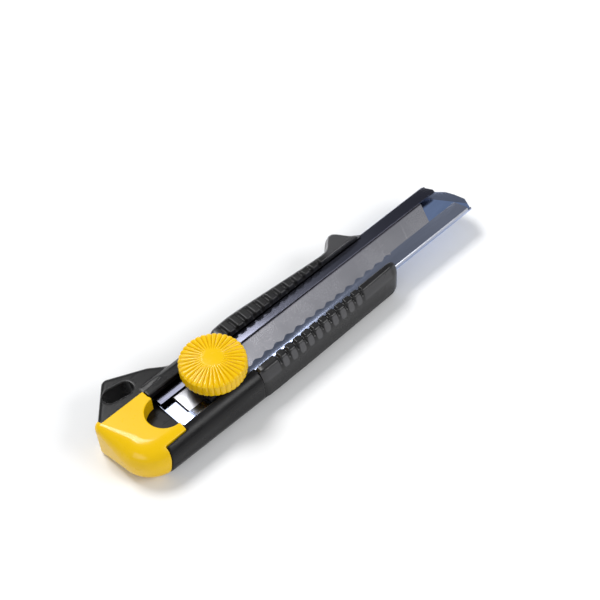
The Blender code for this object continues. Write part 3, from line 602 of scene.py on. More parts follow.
def channel_steel():
    s = Surface("channel_steel_blued", Metallic=1.0)
    cloud = s.noise(9.0, stretch=(2.5, 1.0, 1.0))
    brushed = s.noise(0.12, stretch=(60.0, 1.0, 1.0), detail=2.0)
    speckle = s.noise(0.35, detail=1.0)
    # Painted highlight along the bevelled edges, brighter in patches
    glint_patches = s.remap(s.noise(4.0, detail=2.0), 0.35, 0.6, 0.35, 1.0)
    edge_lightening = s.math("MULTIPLY", s.add("ShaderNodeAttribute", attribute_name="bevel_glint").outputs["Fac"], glint_patches)
    axes = s.add("ShaderNodeSeparateXYZ", {"Vector": s.place})
    along, across, height = axes.outputs
    fold_slope = (NOSE_FOLD[1][0] - NOSE_FOLD[0][0]) / (NOSE_FOLD[1][1] - NOSE_FOLD[0][1])
    fold_x = (NOSE_FOLD[0][0] - fold_slope * NOSE_FOLD[0][1]) * MM
    past = s.math("SUBTRACT", along, s.math("MULTIPLY", across, fold_slope))
    beyond_fold = s.remap(past, fold_x - 0.1 * MM, fold_x + 0.1 * MM, 0.0, 1.0)
    reach = s.math("ABSOLUTE", across, 0.0)
    # Painted highlight along the rounded outer bends, off the flat part of the walls
    bend = s.remap(reach, (CHANNEL_HALF - 0.55) * MM, (CHANNEL_HALF - 0.35) * MM, 0.0, 1.0)
    from_middle = s.math("ABSOLUTE", s.math("SUBTRACT", height, WALL_MIDDLE * MM), 0.0)
    wall = s.math("LESS_THAN", from_middle, WALL_HALF * MM)
    bend_highlight = s.math("MULTIPLY", bend, s.math("SUBTRACT", 1.0, wall))
    lip = s.remap(height, (WALL_MIDDLE - 0.5) * MM, WALL_MIDDLE * MM, 0.0, 1.0)
    # Painted shade: the lips' cut faces at the mouth are coloured near black
    near_mouth = s.math("LESS_THAN", reach, (LIP_MOUTH_LEFT + 0.7) * MM)
    below_top = s.math("LESS_THAN", height, (CHANNEL_TOP - 0.09) * MM)
    cut_face_shade = s.math("MULTIPLY", s.math("MULTIPLY", near_mouth, below_top), lip)
    # The floor, lips and folded tip are lit and shaded copies of one blued steel: the floor painted a light
    # blue as a painted reflection, greyer past the fold, with painted shade under the wheel
    floor_tone = s.blend(cloud, (0.35, 0.49, 0.84), (0.42, 0.56, 0.92))
    floor_tone = s.blend(beyond_fold, floor_tone, (0.28, 0.33, 0.47))
    under_wheel_shade = s.remap(along, -10.0 * MM, 10.0 * MM, 1.0, 0.0)
    floor_tone = s.blend(under_wheel_shade, floor_tone, (0.085, 0.095, 0.12))
    # Painted reflection: the right lip lighter and the left lip darker towards the tip, with painted shade on
    # the left lip behind the wheel
    towards_tip = s.remap(along, 35.0 * MM, 108.0 * MM, 0.0, 1.0)
    right_lip = s.blend(cloud, (0.18, 0.21, 0.29), (0.24, 0.27, 0.37))
    right_lip = s.blend(towards_tip, right_lip, (0.40, 0.44, 0.57))
    left_lip = s.blend(towards_tip, (0.16, 0.165, 0.21), (0.06, 0.06, 0.083))
    left_lip = s.blend(s.math("MULTIPLY", cloud, 0.5), left_lip, (0.07, 0.072, 0.10))
    behind_wheel_shade = s.remap(along, 5.0 * MM, 40.0 * MM, 1.0, 0.0)
    left_lip = s.blend(behind_wheel_shade, left_lip, (0.022, 0.022, 0.028))
    left = s.remap(across, -1.0 * MM, 1.0 * MM, 0.0, 1.0)
    tone = s.blend(lip, floor_tone, s.blend(left, right_lip, left_lip))
    tone = s.blend(s.remap(brushed, 0.35, 0.65, 0.0, 0.2), tone, (0.09, 0.10, 0.14))
    # painted shade on the lips' cut faces
    tone = s.blend(s.math("MULTIPLY", cut_face_shade, 0.9), tone, (0.015, 0.015, 0.02))
    # Painted highlights on the bevelled edges and the outer bends
    bright = s.math("MAXIMUM", edge_lightening, s.math("MULTIPLY", bend_highlight, 0.8))
    s.drive("Base Color", s.blend(bright, tone, (0.62, 0.63, 0.66)))
    rough = s.remap(cloud, 0.3, 0.7, 0.16, 0.23)
    rough = s.math("ADD", rough, s.remap(speckle, 0.55, 0.7, 0.0, 0.03))
    s.drive("Roughness", s.math("ADD", rough, s.math("MULTIPLY", bend_highlight, 0.2)))
    s.bump((brushed, 0.0012), (speckle, 0.001))
    return s.material


def blade_steel():
    s = Surface("blade_steel_satin", Metallic=1.0)
    cloud = s.noise(12.0)
    ground = s.noise(0.1, stretch=(1.0, 40.0, 1.0), detail=3.0)
    grain = s.noise(0.3, detail=2.0)
    tone = s.blend(cloud, (0.55, 0.54, 0.585), (0.60, 0.59, 0.63))
    s.drive("Base Color", s.blend(s.remap(ground, 0.35, 0.65, 0.0, 0.3), tone, (0.46, 0.46, 0.48)))
    s.drive("Roughness", s.remap(s.math("ADD", cloud, grain), 0.7, 1.3, 0.22, 0.29))
    s.bump((ground, 0.0015), (grain, 0.001))
    return s.material


def yellow_plastic(name, rough_low, rough_high):
    s = Surface(name, IOR=1.5, Specular_IOR_Level=0.15, Coat_Weight=0.3, Coat_Roughness=0.13)
    cloud = s.noise(6.0)
    grain = s.noise(0.3, detail=2.0)
    fine = s.noise(1.6, detail=4.0)
    # Painted shade: hollows and flute bottoms turn orange, standing in for light bounced between the yellow
    # walls
    hollow = s.remap(s.shape.outputs["Pointiness"], 0.42, 0.5, 1.0, 0.0)
    tone = s.blend(cloud, (0.77, 0.475, 0.0003), (0.82, 0.51, 0.0006))
    s.drive("Base Color", s.blend(s.math("MULTIPLY", hollow, 0.55), tone, (0.62, 0.27, 0.0)))
    s.drive("Roughness", s.remap(fine, 0.3, 0.7, rough_low, rough_high))
    s.bump((grain, 0.006), (fine, 0.01))
    return s.material


def plated_steel():
    s = Surface("fitting_steel_plated", Metallic=1.0)
    cloud = s.noise(1.5)
    grain = s.noise(0.15, detail=3.0)
    tone = s.blend(cloud, (0.19, 0.19, 0.205), (0.27, 0.27, 0.28))
    s.drive("Base Color", tone)
    s.drive("Roughness", s.remap(cloud, 0.3, 0.7, 0.3, 0.42))
    s.bump((grain, 0.006))
    return s.material


def turned_brass():
    s = Surface("nut_brass_turned", Metallic=1.0)
    cloud = s.noise(1.2)
    rings = s.noise(0.1, stretch=(30.0, 30.0, 1.0), detail=2.0)
    s.drive("Base Color", s.blend(cloud, (0.68, 0.46, 0.17), (0.8, 0.58, 0.26)))
    s.drive("Roughness", s.remap(cloud, 0.3, 0.7, 0.25, 0.4))
    s.bump((rings, 0.004))
    return s.material


def pale_floor():
    s = Surface("floor_white", Roughness=0.75, Specular_IOR_Level=0.2)
    s.drive("Base Color", s.blend(s.noise(60.0), (0.86, 0.86, 0.86), (0.88, 0.88, 0.88)))
    return s.material


# ---------------------------------------------------------------- handle and cap

def envelope():
    return cushion(HANDLE_CORNERS, 0.0, HANDLE_TOP, PLAN_SEGMENTS, EDGE_SEGMENTS)


def cap_zone_body(gap):
    """Everything behind the cap's slanted side seam, and right of the tail loop."""
    side = (
        (BEHIND_ALL, BELOW_ALL),
        (CAP_SEAM_BOTTOM + gap, BELOW_ALL),
        (CAP_SEAM_TOP + gap, CAP_ARM_UNDERSIDE),
        (CAP_SEAM_TOP + gap, ABOVE_ALL),
        (BEHIND_ALL, ABOVE_ALL),
    )
    return prism(side, -BESIDE_ALL, CAP_LEFT + gap, axis="Y")


def cap_zone_arms(gap):
    """The cap's top, which reaches forward on both sides of the recess."""
    outline = (
        (CAP_ARM_END - CAP_ARM_STEP + gap, CAP_LEFT + gap),
        (BEHIND_ALL, CAP_LEFT + gap),
        (BEHIND_ALL, CAP_ARM_RIGHT - gap),
        (CAP_ARM_END + gap, CAP_ARM_RIGHT - gap),
        (CAP_ARM_END + gap, 0.0),
        (CAP_ARM_END - CAP_ARM_STEP + gap, 0.0),
    )
    return prism(outline, CAP_ARM_UNDERSIDE - gap, ABOVE_ALL)


def cap_zone_wrap(gap):
    """The left rear corner, beside the tail loop."""
    return box(BEHIND_ALL, CAP_WRAP_FRONT + gap, 0.0, CAP_WRAP_LEFT + gap, BELOW_ALL, ABOVE_ALL)


def spigot(gap):
    corners = [(x - gap, math.copysign(abs(y) + gap, y), radius and radius + gap)
               for x, y, radius in SPIGOT_CORNERS]
    return prism(fillet(corners, 12), SPIGOT_UNDERSIDE - gap, TROUGH_FLOOR + gap)


def lanyard_slot():
    across = SLOT_WIDTH / 2
    reach = SLOT_LENGTH / 2
    radius = across * 0.99
    corners = ((reach, across, radius), (-reach, across, radius),
               (-reach, -across, radius), (reach, -across, radius))
    spin = Matrix.Rotation(SLOT_ANGLE, 2)
    outline = [SLOT_CENTRE + spin @ Vector(p) for p in fillet(corners, 10)]
    return prism(outline, BELOW_ALL, ABOVE_ALL)


def trough():
    profile = (
        (-TROUGH_WIDTH, TROUGH_FLOOR), (TROUGH_WIDTH, TROUGH_FLOOR),
        (TROUGH_WIDTH, RAIL_UNDERSIDE), (RAIL_INNER, RAIL_UNDERSIDE), (RAIL_INNER, ABOVE_ALL),
        (-RAIL_INNER, ABOVE_ALL), (-RAIL_INNER, RAIL_UNDERSIDE), (-TROUGH_WIDTH, RAIL_UNDERSIDE),
    )
    return prism(profile, BEHIND_ALL, FRONT_OF_ALL, axis="X")


def grip_wall(widths, x):
    """Distance from the middle to the inner face of a grip's side wall."""
    return max(width_at(widths, x) - GRIP_WALL, GRIP_WALL_INNER)


def grip_seat(widths, side):
    """What the handle gives up for one grip: the rail and a shallow step down its side."""
    sections = []
    for x in (GRIP_REAR - GAP, 20.0, 30.0, 60.0, HANDLE_FRONT, FRONT_OF_ALL):
        wall = grip_wall(widths, x) - GAP
        ring = (
            (wall, GRIP_UNDERSIDE - GAP), (BESIDE_ALL, GRIP_UNDERSIDE - GAP), (BESIDE_ALL, ABOVE_ALL),
            (RAIL_INNER - GAP, ABOVE_ALL), (RAIL_INNER - GAP, CHANNEL_TOP), (wall, CHANNEL_TOP),
        )
        sections.append([(x, side * w, z) for w, z in ring])
    return loft(sections)


def make_handle(surface):
    ramp = (
        (BEHIND_ALL, LOOP_TOP),
        (RAMP_FOOT, LOOP_TOP),
        (RAMP_HEAD, RAMP_TOP),
        (BEHIND_ALL, RAMP_TOP),
    )
    shape = carved(
        envelope(),
        ("UNION", cushion(LOOP_CORNERS, LOOP_UNDERSIDE, LOOP_TOP, 8, 6)),
        ("DIFFERENCE", cap_zone_body(GAP)),
        ("DIFFERENCE", cap_zone_arms(GAP)),
        ("DIFFERENCE", cap_zone_wrap(GAP)),
        ("UNION", spigot(0.0)),
        ("DIFFERENCE", prism(ramp, CAP_LEFT, BESIDE_ALL, axis="Y")),
        ("DIFFERENCE", lanyard_slot()),
        ("DIFFERENCE", trough()),
        ("DIFFERENCE", grip_seat(LEFT_WIDTHS, 1)),
        ("DIFFERENCE", grip_seat(RIGHT_WIDTHS, -1)),
    )
    shape = moulded(shape, HANDLE_VOXEL, MOULD_ROUNDS)
    return piece("handle_body_moulded", shape, surface, "handle", "handle_body")


def make_cap(surface):
    plug = box(BEHIND_ALL, RECESS_CENTRE_X, -CAP_PLUG_WIDTH, CAP_PLUG_WIDTH, TROUGH_FLOOR + GAP, ABOVE_ALL)
    zone = carved(
        cap_zone_body(0.0),
        ("UNION", cap_zone_arms(0.0)),
        ("UNION", cap_zone_wrap(0.0)),
        ("UNION", plug),
    )
    zone_bm = bmesh.new()
    zone_bm.from_mesh(zone)
    shape = carved(
        envelope(),
        ("INTERSECT", zone_bm),
        ("DIFFERENCE", spigot(GAP)),
        ("DIFFERENCE", cylinder(RECESS_RADIUS, RECESS_UNDERSIDE, ABOVE_ALL, (RECESS_CENTRE_X, 0.0))),
    )
    shape = moulded(shape, CAP_VOXEL, MOULD_ROUNDS)
    return piece("end_cap_moulded", shape, surface, "end_cap", "end_cap")


# ---------------------------------------------------------------- grips

def groove_depth(x, start, count):
    """Depth of the nearest cross groove at x."""
    number = min(max(round((x - start) / GROOVE_PITCH), 0), count - 1)
    away = abs(x - start - number * GROOVE_PITCH) / (GROOVE_MOUTH / 2)
    rise = max(1 - away, 0.0)
    return GROOVE_DEPTH * (rise * rise * (3 - 2 * rise)) ** GROOVE_FULLNESS


def rounded_line(corners, counts, steps):
    """Open line through corners (w, z, setback): each is rounded in steps, each side has its count."""
    points = []
    for i, (w, z, setback) in enumerate(corners):
        here = Vector((w, z))
        if setback <= 0 or i in (0, len(corners) - 1):
            points.append(here)
            last = here
        else:
            start = here + (Vector(corners[i - 1][:2]) - here).normalized() * setback
            last = here + (Vector(corners[i + 1][:2]) - here).normalized() * setback
            for k in range(steps + 1):
                t = k / steps
                points.append(start * (1 - t) ** 2 + here * 2 * t * (1 - t) + last * t**2)
        if i < len(counts):
            w1, z1, setback1 = corners[i + 1]
            after = Vector((w1, z1))
            after = after + (here - after).normalized() * max(setback1, 0.0)
            for k in range(1, counts[i]):
                points.append(last.lerp(after, k / counts[i]))
    return points


def grip_ring(x, outer, crest, wall, cut, side):
    """Cross-section of a grip; a groove of depth cut is taken off along the surface's normal."""
    inner = GRIP_RAIL_INNER
    top_edge = max(outer - GRIP_EDGE, (inner + outer) / 2)
    room = min(1.0, (top_edge - inner) / GRIP_ROUND_WIDTH, (crest - RAIL_UNDERSIDE) / GRIP_ROUND_HEIGHT)
    walled = x < GRIP_WALL_END
    foot = GRIP_LEAN_FOOT if walled else RAIL_UNDERSIDE + 0.05
    low = GRIP_UNDERSIDE if walled else RAIL_UNDERSIDE
    corners = [
        (inner, RAIL_UNDERSIDE, 0.0),
        (inner, crest, GRIP_INNER_ROUND * room),
        (top_edge, crest, GRIP_TOP_ROUND * room),
        (outer, foot, GRIP_FOOT_ROUND if walled else 0.02),
        (outer, low, 0.0),
    ]
    line = rounded_line(corners, GRIP_SIDE_COUNTS, GRIP_ROUND_STEPS)
    ring = []
    for i, here in enumerate(line):
        before = line[max(i - 1, 0)]
        after = line[min(i + 1, len(line) - 1)]
        along = after - before
        if along.length < 1e-6:
            ring.append(here)
            continue
        along.normalize()
        inward = Vector((along.y, -along.x))
        ring.append(here + inward * cut * groove_share(here, top_edge, side))
    back = wall if walled else outer
    ring += [Vector((back, low)), Vector((back, RAIL_UNDERSIDE))]
    return [(x, side * p.x, p.y) for p in ring]


def ease(value, low, high):
    """0 below low, 1 above high, smooth in between."""
    t = min(max((value - low) / (high - low), 0.0), 1.0)
    return t * t * (3 - 2 * t)


def groove_share(point, top_edge, side):
    """How much of a groove's depth reaches a point (w, z) of the cross-section."""
    start = ease(point.y, RAIL_UNDERSIDE, GRIP_TOP - 1.0)
    if side > 0:
        return start * (1 - ease(point.x - top_edge, *GROOVE_FADE))
    return start * ease(point.y, *SIDE_FOOT)


def pad_sheen_share(x, z, start, grooves):
    """Painted sheen: 1 on the oval pads between the grooves and on the smooth ends, 0 around them."""
    last = start + (grooves - 1) * GROOVE_PITCH
    if x < start or x > last:
        away = min(abs(x - start), abs(x - last))
        share = ease(away, *END_PAD_EDGE) * ease(z, *END_PAD_FOOT) * (1 - ease(z, *END_PAD_HEAD))
        return END_PAD_SHINE * share * (1 - ease(x, *PADS_END))
    along = abs((x - start) % GROOVE_PITCH - GROOVE_PITCH / 2) / PAD_HALF_LENGTH
    up = abs(z - PAD_MIDDLE) / PAD_HALF_HEIGHT
    return 1 - ease(along**3 + up**3, *PAD_EDGE)


def make_grip(name, widths, table, start, grooves, side, surface):
    outers = [(x, outer) for x, outer, _ in table]
    crests = [(x, crest) for x, _, crest in table]
    end = table[-1][0]
    count = math.ceil((end - GRIP_REAR) / STATION_STEP)
    sections = []
    for k in range(count + 1):
        x = mix(GRIP_REAR, end, k / count)
        cut = groove_depth(x, start, grooves)
        outer = curve_at(outers, x)
        crest = curve_at(crests, x)
        sections.append(grip_ring(x, outer, crest, grip_wall(widths, x), cut, side))
    bm = loft(sections)
    bmesh.ops.remove_doubles(bm, verts=bm.verts, dist=0.0005)
    obj = piece(f"{name}_moulded", bm, surface, "handle", name, sharp=50.0)
    # up to 1: painted sheen on the oval pads and smooth ends of the right grip; from 1 to 2: painted
    # highlight along the left grip's top edge, with painted sheen on its guard
    painted_sheen = obj.data.attributes.new("painted_sheen", "FLOAT", "POINT")
    for vert in obj.data.vertices:
        x, y, z = vert.co / MM
        top_edge = curve_at(outers, x) - GRIP_EDGE
        share = 0.0
        if side < 0 and abs(y) > GRIP_WALL_INNER + 0.4:
            share = pad_sheen_share(x, z, start, grooves)
        if side > 0 and z > RAIL_UNDERSIDE:
            front = ease(x, *GUARD_START)
            line = ease(y - top_edge, *EDGE_LINE_INSIDE) * (1 - ease(y - top_edge, *EDGE_LINE_OUTSIDE))
            share = max(line * mix(*EDGE_LINE_SHINE, front), GUARD_SHINE * front * ease(z, *GUARD_FOOT))
        painted_sheen.data[vert.index].value = share
    return obj


# ---------------------------------------------------------------- channel

def channel_side(mouth):
    """Half of the folded section, from the floor's edge round to the lip's edge and back inside."""
    inner_bend = CHANNEL_BEND - STEEL
    lip_out = CHANNEL_TOP - LIP_DROP
    corners = (
        (0.0, CHANNEL_BASE, 0.0),
        (CHANNEL_HALF, CHANNEL_BASE, CHANNEL_BEND),
        (CHANNEL_HALF, lip_out, CHANNEL_BEND),
        (mouth, CHANNEL_TOP, LIP_EDGE),
        (mouth, CHANNEL_TOP - STEEL, LIP_EDGE),
        (CHANNEL_HALF - STEEL, lip_out - STEEL + LIP_ROOM, inner_bend),
        (CHANNEL_HALF - STEEL, CHANNEL_BASE + STEEL, inner_bend),
        (0.0, CHANNEL_BASE + STEEL, 0.0),
    )
    return fillet(corners, 8)[1:-1]


def lip_wave():
    """Cutter whose edge leaves rounded detents along the right lip."""
    edge = []
    for k in range(WAVES * WAVE_STEPS + 1):
        turn = math.tau * k / WAVE_STEPS
        x = WAVE_FIRST + WAVE_PITCH * (k / WAVE_STEPS - 0.5)
        edge.append((x, -(WAVE_MIDDLE + WAVE_HEIGHT * math.cos(turn))))
    return prism(((edge[0][0], 0.0), *edge, (edge[-1][0], 0.0)), CHANNEL_TOP - 2 * STEEL, ABOVE_ALL)


def fold_nose(mesh):
    """Bends the floor's tip down along a slanted line."""
    bm = bmesh.new()
    bm.from_mesh(mesh)
    start = Vector((*NOSE_FOLD[0], 0.0))
    along = (Vector((*NOSE_FOLD[1], 0.0)) - start).normalized()
    ahead = Vector((-along.y, along.x, 0.0))
    whole = [*bm.verts, *bm.edges, *bm.faces]
    bmesh.ops.bisect_plane(bm, geom=whole, plane_co=start, plane_no=ahead, dist=0.001)
    middle = (CHANNEL_BASE + CHANNEL_TOP) / 2
    for vert in bm.verts:
        beyond = (vert.co - start).dot(ahead)
        if beyond > 0 and vert.co.z < middle:
            vert.co.z -= NOSE_FALL * beyond
    return bm


def make_channel(surface):
    right = [(-y, z) for y, z in reversed(channel_side(WAVE_MIDDLE - WAVE_HEIGHT))]
    profile = [*channel_side(LIP_MOUTH_LEFT), *right]
    middle = (CHANNEL_BASE + CHANNEL_TOP) / 2
    wave_end = WAVE_FIRST + WAVE_PITCH * (WAVES - 0.5)
    low = CHANNEL_TOP - 2 * STEEL
    beyond_nose = ((FRONT_OF_ALL, -BESIDE_CHANNEL), (FRONT_OF_ALL, BESIDE_CHANNEL))
    cutters = [
        prism((*LIP_NOSE, *beyond_nose), middle, ABOVE_ALL),
        prism((*FLOOR_NOSE, *beyond_nose), 0.0, ABOVE_ALL),
        lip_wave(),
        box(wave_end, FRONT_OF_ALL, -LIP_MOUTH_RIGHT, 0.0, low, ABOVE_ALL),
    ]
    for x in RIVET_PLACES:
        hole = cylinder(RIVET_HOLE, RIVET_CUT_LOW, CHANNEL_BASE + STEEL + RIVET_CUT_RISE, (x, 0.0), 32)
        cutters.append(hole)
    stock = prism(profile, CHANNEL_REAR, CHANNEL_STOCK_FRONT, axis="X")
    shape = carved(stock, *(("DIFFERENCE", cutter) for cutter in cutters))
    shape = fold_nose(shape)
    shape = bevelled(shape, 0.07, 2, 50.0)
    return piece("blade_channel_folded", shape, surface, "handle", "blade_channel",
                 sharp=35.0)


# ---------------------------------------------------------------- blade

def make_blade(surface):
    """Strip with a ground edge, through slanted sections; V scores part it into segments."""
    middle = (BLADE_UNDERSIDE + BLADE_TOP) / 2
    stations = [(BLADE_TIP - BLADE_LENGTH, 0.0)]
    for number in range(SCORES, 0, -1):
        x = BLADE_TIP - SEGMENT_LENGTH * number
        stations += [(x - SCORE_WIDTH / 2, 0.0), (x, SCORE_DEPTH), (x + SCORE_WIDTH / 2, 0.0)]
    stations.append((BLADE_TIP, 0.0))
    sections = []
    for x, cut in stations:
        profile = (
            (-BLADE_HALF, BLADE_UNDERSIDE),
            (BLADE_HALF - BEVEL_WIDTH, BLADE_UNDERSIDE),
            (BLADE_HALF, middle - CUTTING_EDGE),
            (BLADE_HALF, middle + CUTTING_EDGE),
            (BLADE_HALF - BEVEL_WIDTH, BLADE_TOP - cut),
            (-BLADE_HALF, BLADE_TOP - cut),
        )
        ring = []
        for y, z in profile:
            ring.append((x - BLADE_SLANT * (BLADE_HALF - y) / (2 * BLADE_HALF), y, z))
        sections.append(ring)
    hole = cylinder(PEG_HOLE_RADIUS, BELOW_ALL, ABOVE_ALL, PEG_PLACE, 48)
    shape = carved(loft(sections), ("DIFFERENCE", hole))
    shape = bevelled(shape, 0.03, 2, 60.0)
    return piece("blade_scored", shape, surface, "slider", "blade", sharp=5.0)


# ---------------------------------------------------------------- wheel and fittings

def make_wheel(surface):
    """Turned profile whose outside carries the flutes: (radius, z, depth inward, depth down)."""
    edge_radius = WHEEL_RADIUS - WHEEL_EDGE
    edge_top = WHEEL_TOP - WHEEL_DROP
    slope = 2 * WHEEL_DROP / edge_radius
    rings = [(WHEEL_RADIUS - inset, WHEEL_UNDERSIDE + rise, depth, 0.0) for inset, rise, depth in WHEEL_RIM]
    for k in range(WHEEL_EDGE_STEPS + 1):
        angle = math.pi / 2 * k / WHEEL_EDGE_STEPS
        radius = edge_radius + WHEEL_EDGE * math.cos(angle)
        z = edge_top - WHEEL_EDGE * (1 - math.sin(angle))
        z -= slope * WHEEL_EDGE * math.cos(angle) * math.sin(angle)
        rings.append((radius, z, RIM_FLUTE * math.cos(angle), TOP_FLUTE * math.sin(angle)))
    for share in DOME_SHARES:
        radius = edge_radius * share
        depth = TOP_FLUTE * min(max((share - FLUTES_END) / FLUTES_FADE, 0.0), 1.0) ** 0.7
        rings.append((radius, WHEEL_TOP - WHEEL_DROP * share**2, 0.0, depth))
    under = [
        (STUD_SPACE_RADIUS, STUD_SPACE_TOP), (STUD_SPACE_RADIUS, NUT_POCKET_TOP),
        (NUT_POCKET_RADIUS, NUT_POCKET_TOP), (NUT_POCKET_RADIUS, HUB_UNDERSIDE),
        (HUB_RADIUS - HUB_CHAMFER, HUB_UNDERSIDE), (HUB_RADIUS, HUB_UNDERSIDE + HUB_CHAMFER),
        (HUB_RADIUS, POCKET_TOP), (RIM_INNER, POCKET_TOP),
        (RIM_INNER, WHEEL_UNDERSIDE + RIM_CHAMFER), (RIM_INNER + RIM_CHAMFER, WHEEL_UNDERSIDE),
    ]
    count = FLUTES * FLUTE_STEPS
    bm = bmesh.new()
    columns = []
    for k in range(count):
        turn = math.tau * k / count
        groove = (1 - abs(math.sin(math.pi * k / FLUTE_STEPS))) ** FLUTE_SHARPNESS
        column = []
        for radius, z, inward, down in rings:
            r = radius - groove * inward
            column.append(bm.verts.new((r * math.cos(turn), r * math.sin(turn), z - groove * down)))
        for radius, z in under:
            column.append(bm.verts.new((radius * math.cos(turn), radius * math.sin(turn), z)))
        columns.append(column)
    crown = bm.verts.new((0.0, 0.0, WHEEL_TOP))
    roof = bm.verts.new((0.0, 0.0, STUD_SPACE_TOP))
    last_outer = len(rings) - 1
    for here, after in zip(columns, columns[1:] + columns[:1]):
        for i in range(last_outer):
            bm.faces.new((here[i], after[i], after[i + 1], here[i + 1]))
        bm.faces.new((here[last_outer], after[last_outer], crown))
        for i in range(len(rings), len(here) - 1):
            bm.faces.new((here[i], after[i], after[i + 1], here[i + 1]))
        bm.faces.new((here[len(rings)], after[len(rings)], roof))
        bm.faces.new((here[-1], after[-1], after[0], here[0]))
    bmesh.ops.recalc_face_normals(bm, faces=bm.faces)
    return piece("thumb_wheel_fluted", bm, surface, "wheel", "thumb_wheel", sharp=40.0)


def make_stud(surface):
    """Round stud with a flange and a cut thread; each turn rises by the pitch."""
    low, high = (corner.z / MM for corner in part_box("threaded_stud"))
    flange_low, flange_high = STUD_FLANGE
    plain = (
        (low, STUD_RADIUS),
        (flange_low, STUD_RADIUS),
        (flange_low, STUD_FLANGE_RADIUS),
        (flange_high, STUD_FLANGE_RADIUS),
    )
    levels = [[(z, radius)] * THREAD_COUNT for z, radius in plain]
    rows = int((high - flange_high - 0.2) / THREAD_PITCH * THREAD_STEPS)
    for row in range(rows + 1):
        z = flange_high + row * THREAD_PITCH / THREAD_STEPS
        ring = []
        for k in range(THREAD_COUNT):
            phase = (z - THREAD_PITCH * k / THREAD_COUNT) / THREAD_PITCH % 1.0
            ring.append((z, STUD_RADIUS - THREAD_DEPTH * (1 - abs(2 * phase - 1))))
        levels.append(ring)
    levels.append([(high, STUD_RADIUS - STUD_CHAMFER)] * THREAD_COUNT)
    sections = []
    for level in levels:
        ring = []
        for k, (z, radius) in enumerate(level):
            turn = math.tau * k / THREAD_COUNT
            ring.append((radius * math.cos(turn), radius * math.sin(turn), z))
        sections.append(ring)
    return piece("threaded_stud_cut", loft(sections), surface, "slider", "threaded_stud",
                 sharp=50.0)


# ---------------------------------------------------------------- build

handle_black = black_plastic()
rubber_black = black_rubber()
blued_steel = channel_steel()
satin_steel = blade_steel()
wheel_yellow = yellow_plastic("wheel_plastic_yellow", 0.2, 0.3)
cap_yellow = yellow_plastic("cap_plastic_yellow", 0.26, 0.36)
bright_steel = plated_steel()
brass = turned_brass()

make_handle(handle_black)
make_cap(cap_yellow)
make_grip("grip_left", LEFT_WIDTHS, LEFT_GRIP, LEFT_GROOVES_START, LEFT_GROOVES, 1, rubber_black)
make_grip("grip_right", RIGHT_WIDTHS, RIGHT_GRIP, RIGHT_GROOVES_START, RIGHT_GROOVES, -1, rubber_black)
make_channel(blued_steel)
make_blade(satin_steel)
make_wheel(wheel_yellow)
make_stud(bright_steel)
for node, body, width, surface, slot in (
    ("slider_saddle", "slider", 0.25, handle_black, "handle_plastic"),
    ("blade_holder", "slider", 0.08, bright_steel, "fitting_steel"),
    ("wheel_washer", "wheel_washer", 0.1, bright_steel, "fitting_steel"),
    ("wheel_nut", "wheel", 0.15, brass, "nut_brass"),
    ("channel_rivet_rear", "handle", 0.08, bright_steel, "fitting_steel"),
    ("channel_rivet_front", "handle", 0.08, bright_steel, "fitting_steel"),
):
    piece(f"{node}_eased", bevelled(cad_shape(node), width, 2, 40.0), surface, body, node, sharp=35.0)


# ---------------------------------------------------------------- floor, lights, camera

FLOOR_REACH = 1.5  # metres, as everything in this part
LIGHT_TARGET = (0.04, 0.0, 0.01)
LIGHT_DISTANCE = 0.9
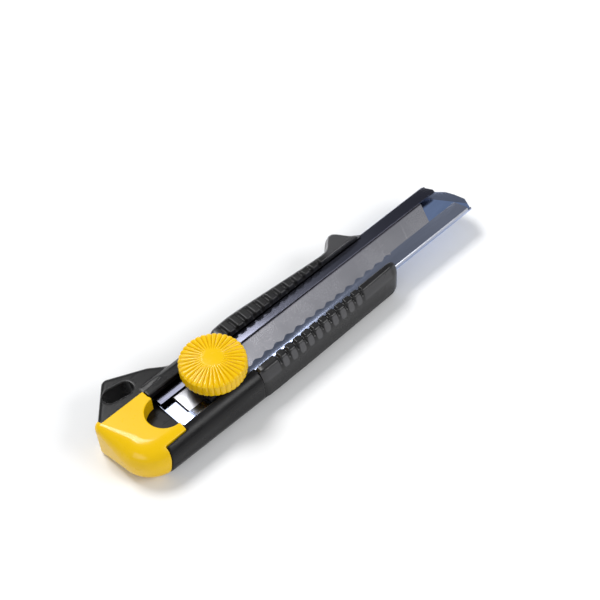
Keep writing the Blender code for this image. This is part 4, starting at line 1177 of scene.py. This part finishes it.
# name, direction, width and depth, watts
LIGHTS = (
    ("key_softbox", (-0.06, 0.48, 0.87), (0.36, 0.28), 5.5),
    ("right_panel", (0.40, -0.70, 0.58), (0.5, 0.4), 4.0),
    ("rear_strip", (0.43, 0.88, 0.16), (0.9, 0.12), 2.2),
    ("cap_fill", (-0.88, -0.20, 0.42), (0.5, 0.3), 1.6),
)
SKY_COLOUR = (0.93, 0.96, 1.0, 1.0)
SKY_STRENGTH = 0.32
CAMERA_PLACE = (-0.150, -0.2174, 0.3592)
CAMERA_FORWARD = (0.426, 0.486, -0.763)
CAMERA_RIGHT = (0.713, -0.700, -0.048)
CAMERA_LENS = 77.13
CAMERA_SENSOR = 36.0


def make_floor():
    bm = bmesh.new()
    signs = ((-1, -1), (1, -1), (1, 1), (-1, 1))
    bm.faces.new([bm.verts.new((x * FLOOR_REACH, y * FLOOR_REACH, 0.0)) for x, y in signs])
    mesh = bpy.data.meshes.new("studio_floor")
    bm.to_mesh(mesh)
    bm.free()
    floor = bpy.data.objects.new("studio_floor", mesh)
    bpy.context.scene.collection.objects.link(floor)
    mesh.materials.append(pale_floor())


def softbox(name, direction, size, watts):
    """Area light of the given width and depth that looks at the middle of the knife."""
    lamp = bpy.data.lights.new(name, "AREA")
    lamp.shape = "RECTANGLE"
    lamp.size = size[0]
    lamp.size_y = size[1]
    lamp.energy = watts
    obj = bpy.data.objects.new(name, lamp)
    bpy.context.scene.collection.objects.link(obj)
    away = Vector(direction).normalized()
    obj.location = Vector(LIGHT_TARGET) + away * LIGHT_DISTANCE
    obj.rotation_euler = away.to_track_quat("Z", "Y").to_euler()


def make_world():
    world = bpy.data.worlds.new("studio")
    world.use_nodes = True
    sky = world.node_tree.nodes["Background"]
    sky.inputs["Color"].default_value = SKY_COLOUR
    sky.inputs["Strength"].default_value = SKY_STRENGTH
    bpy.context.scene.world = world


def make_lights():
    make_world()
    for name, direction, size, watts in LIGHTS:
        softbox(name, direction, size, watts)


def make_camera():
    camera = bpy.data.cameras.new("photo_camera")
    camera.lens = CAMERA_LENS
    camera.sensor_width = CAMERA_SENSOR
    camera.clip_start = 0.01
    obj = bpy.data.objects.new("photo_camera", camera)
    bpy.context.scene.collection.objects.link(obj)
    forward = Vector(CAMERA_FORWARD).normalized()
    up = Vector(CAMERA_RIGHT).cross(forward).normalized()
    right = forward.cross(up)
    place = Matrix((right, up, -forward)).transposed().to_4x4()
    place.translation = Vector(CAMERA_PLACE)
    obj.matrix_world = place
    bpy.context.scene.camera = obj


make_floor()
make_lights()
make_camera()
bpy.context.scene.view_settings.view_transform = "Standard"
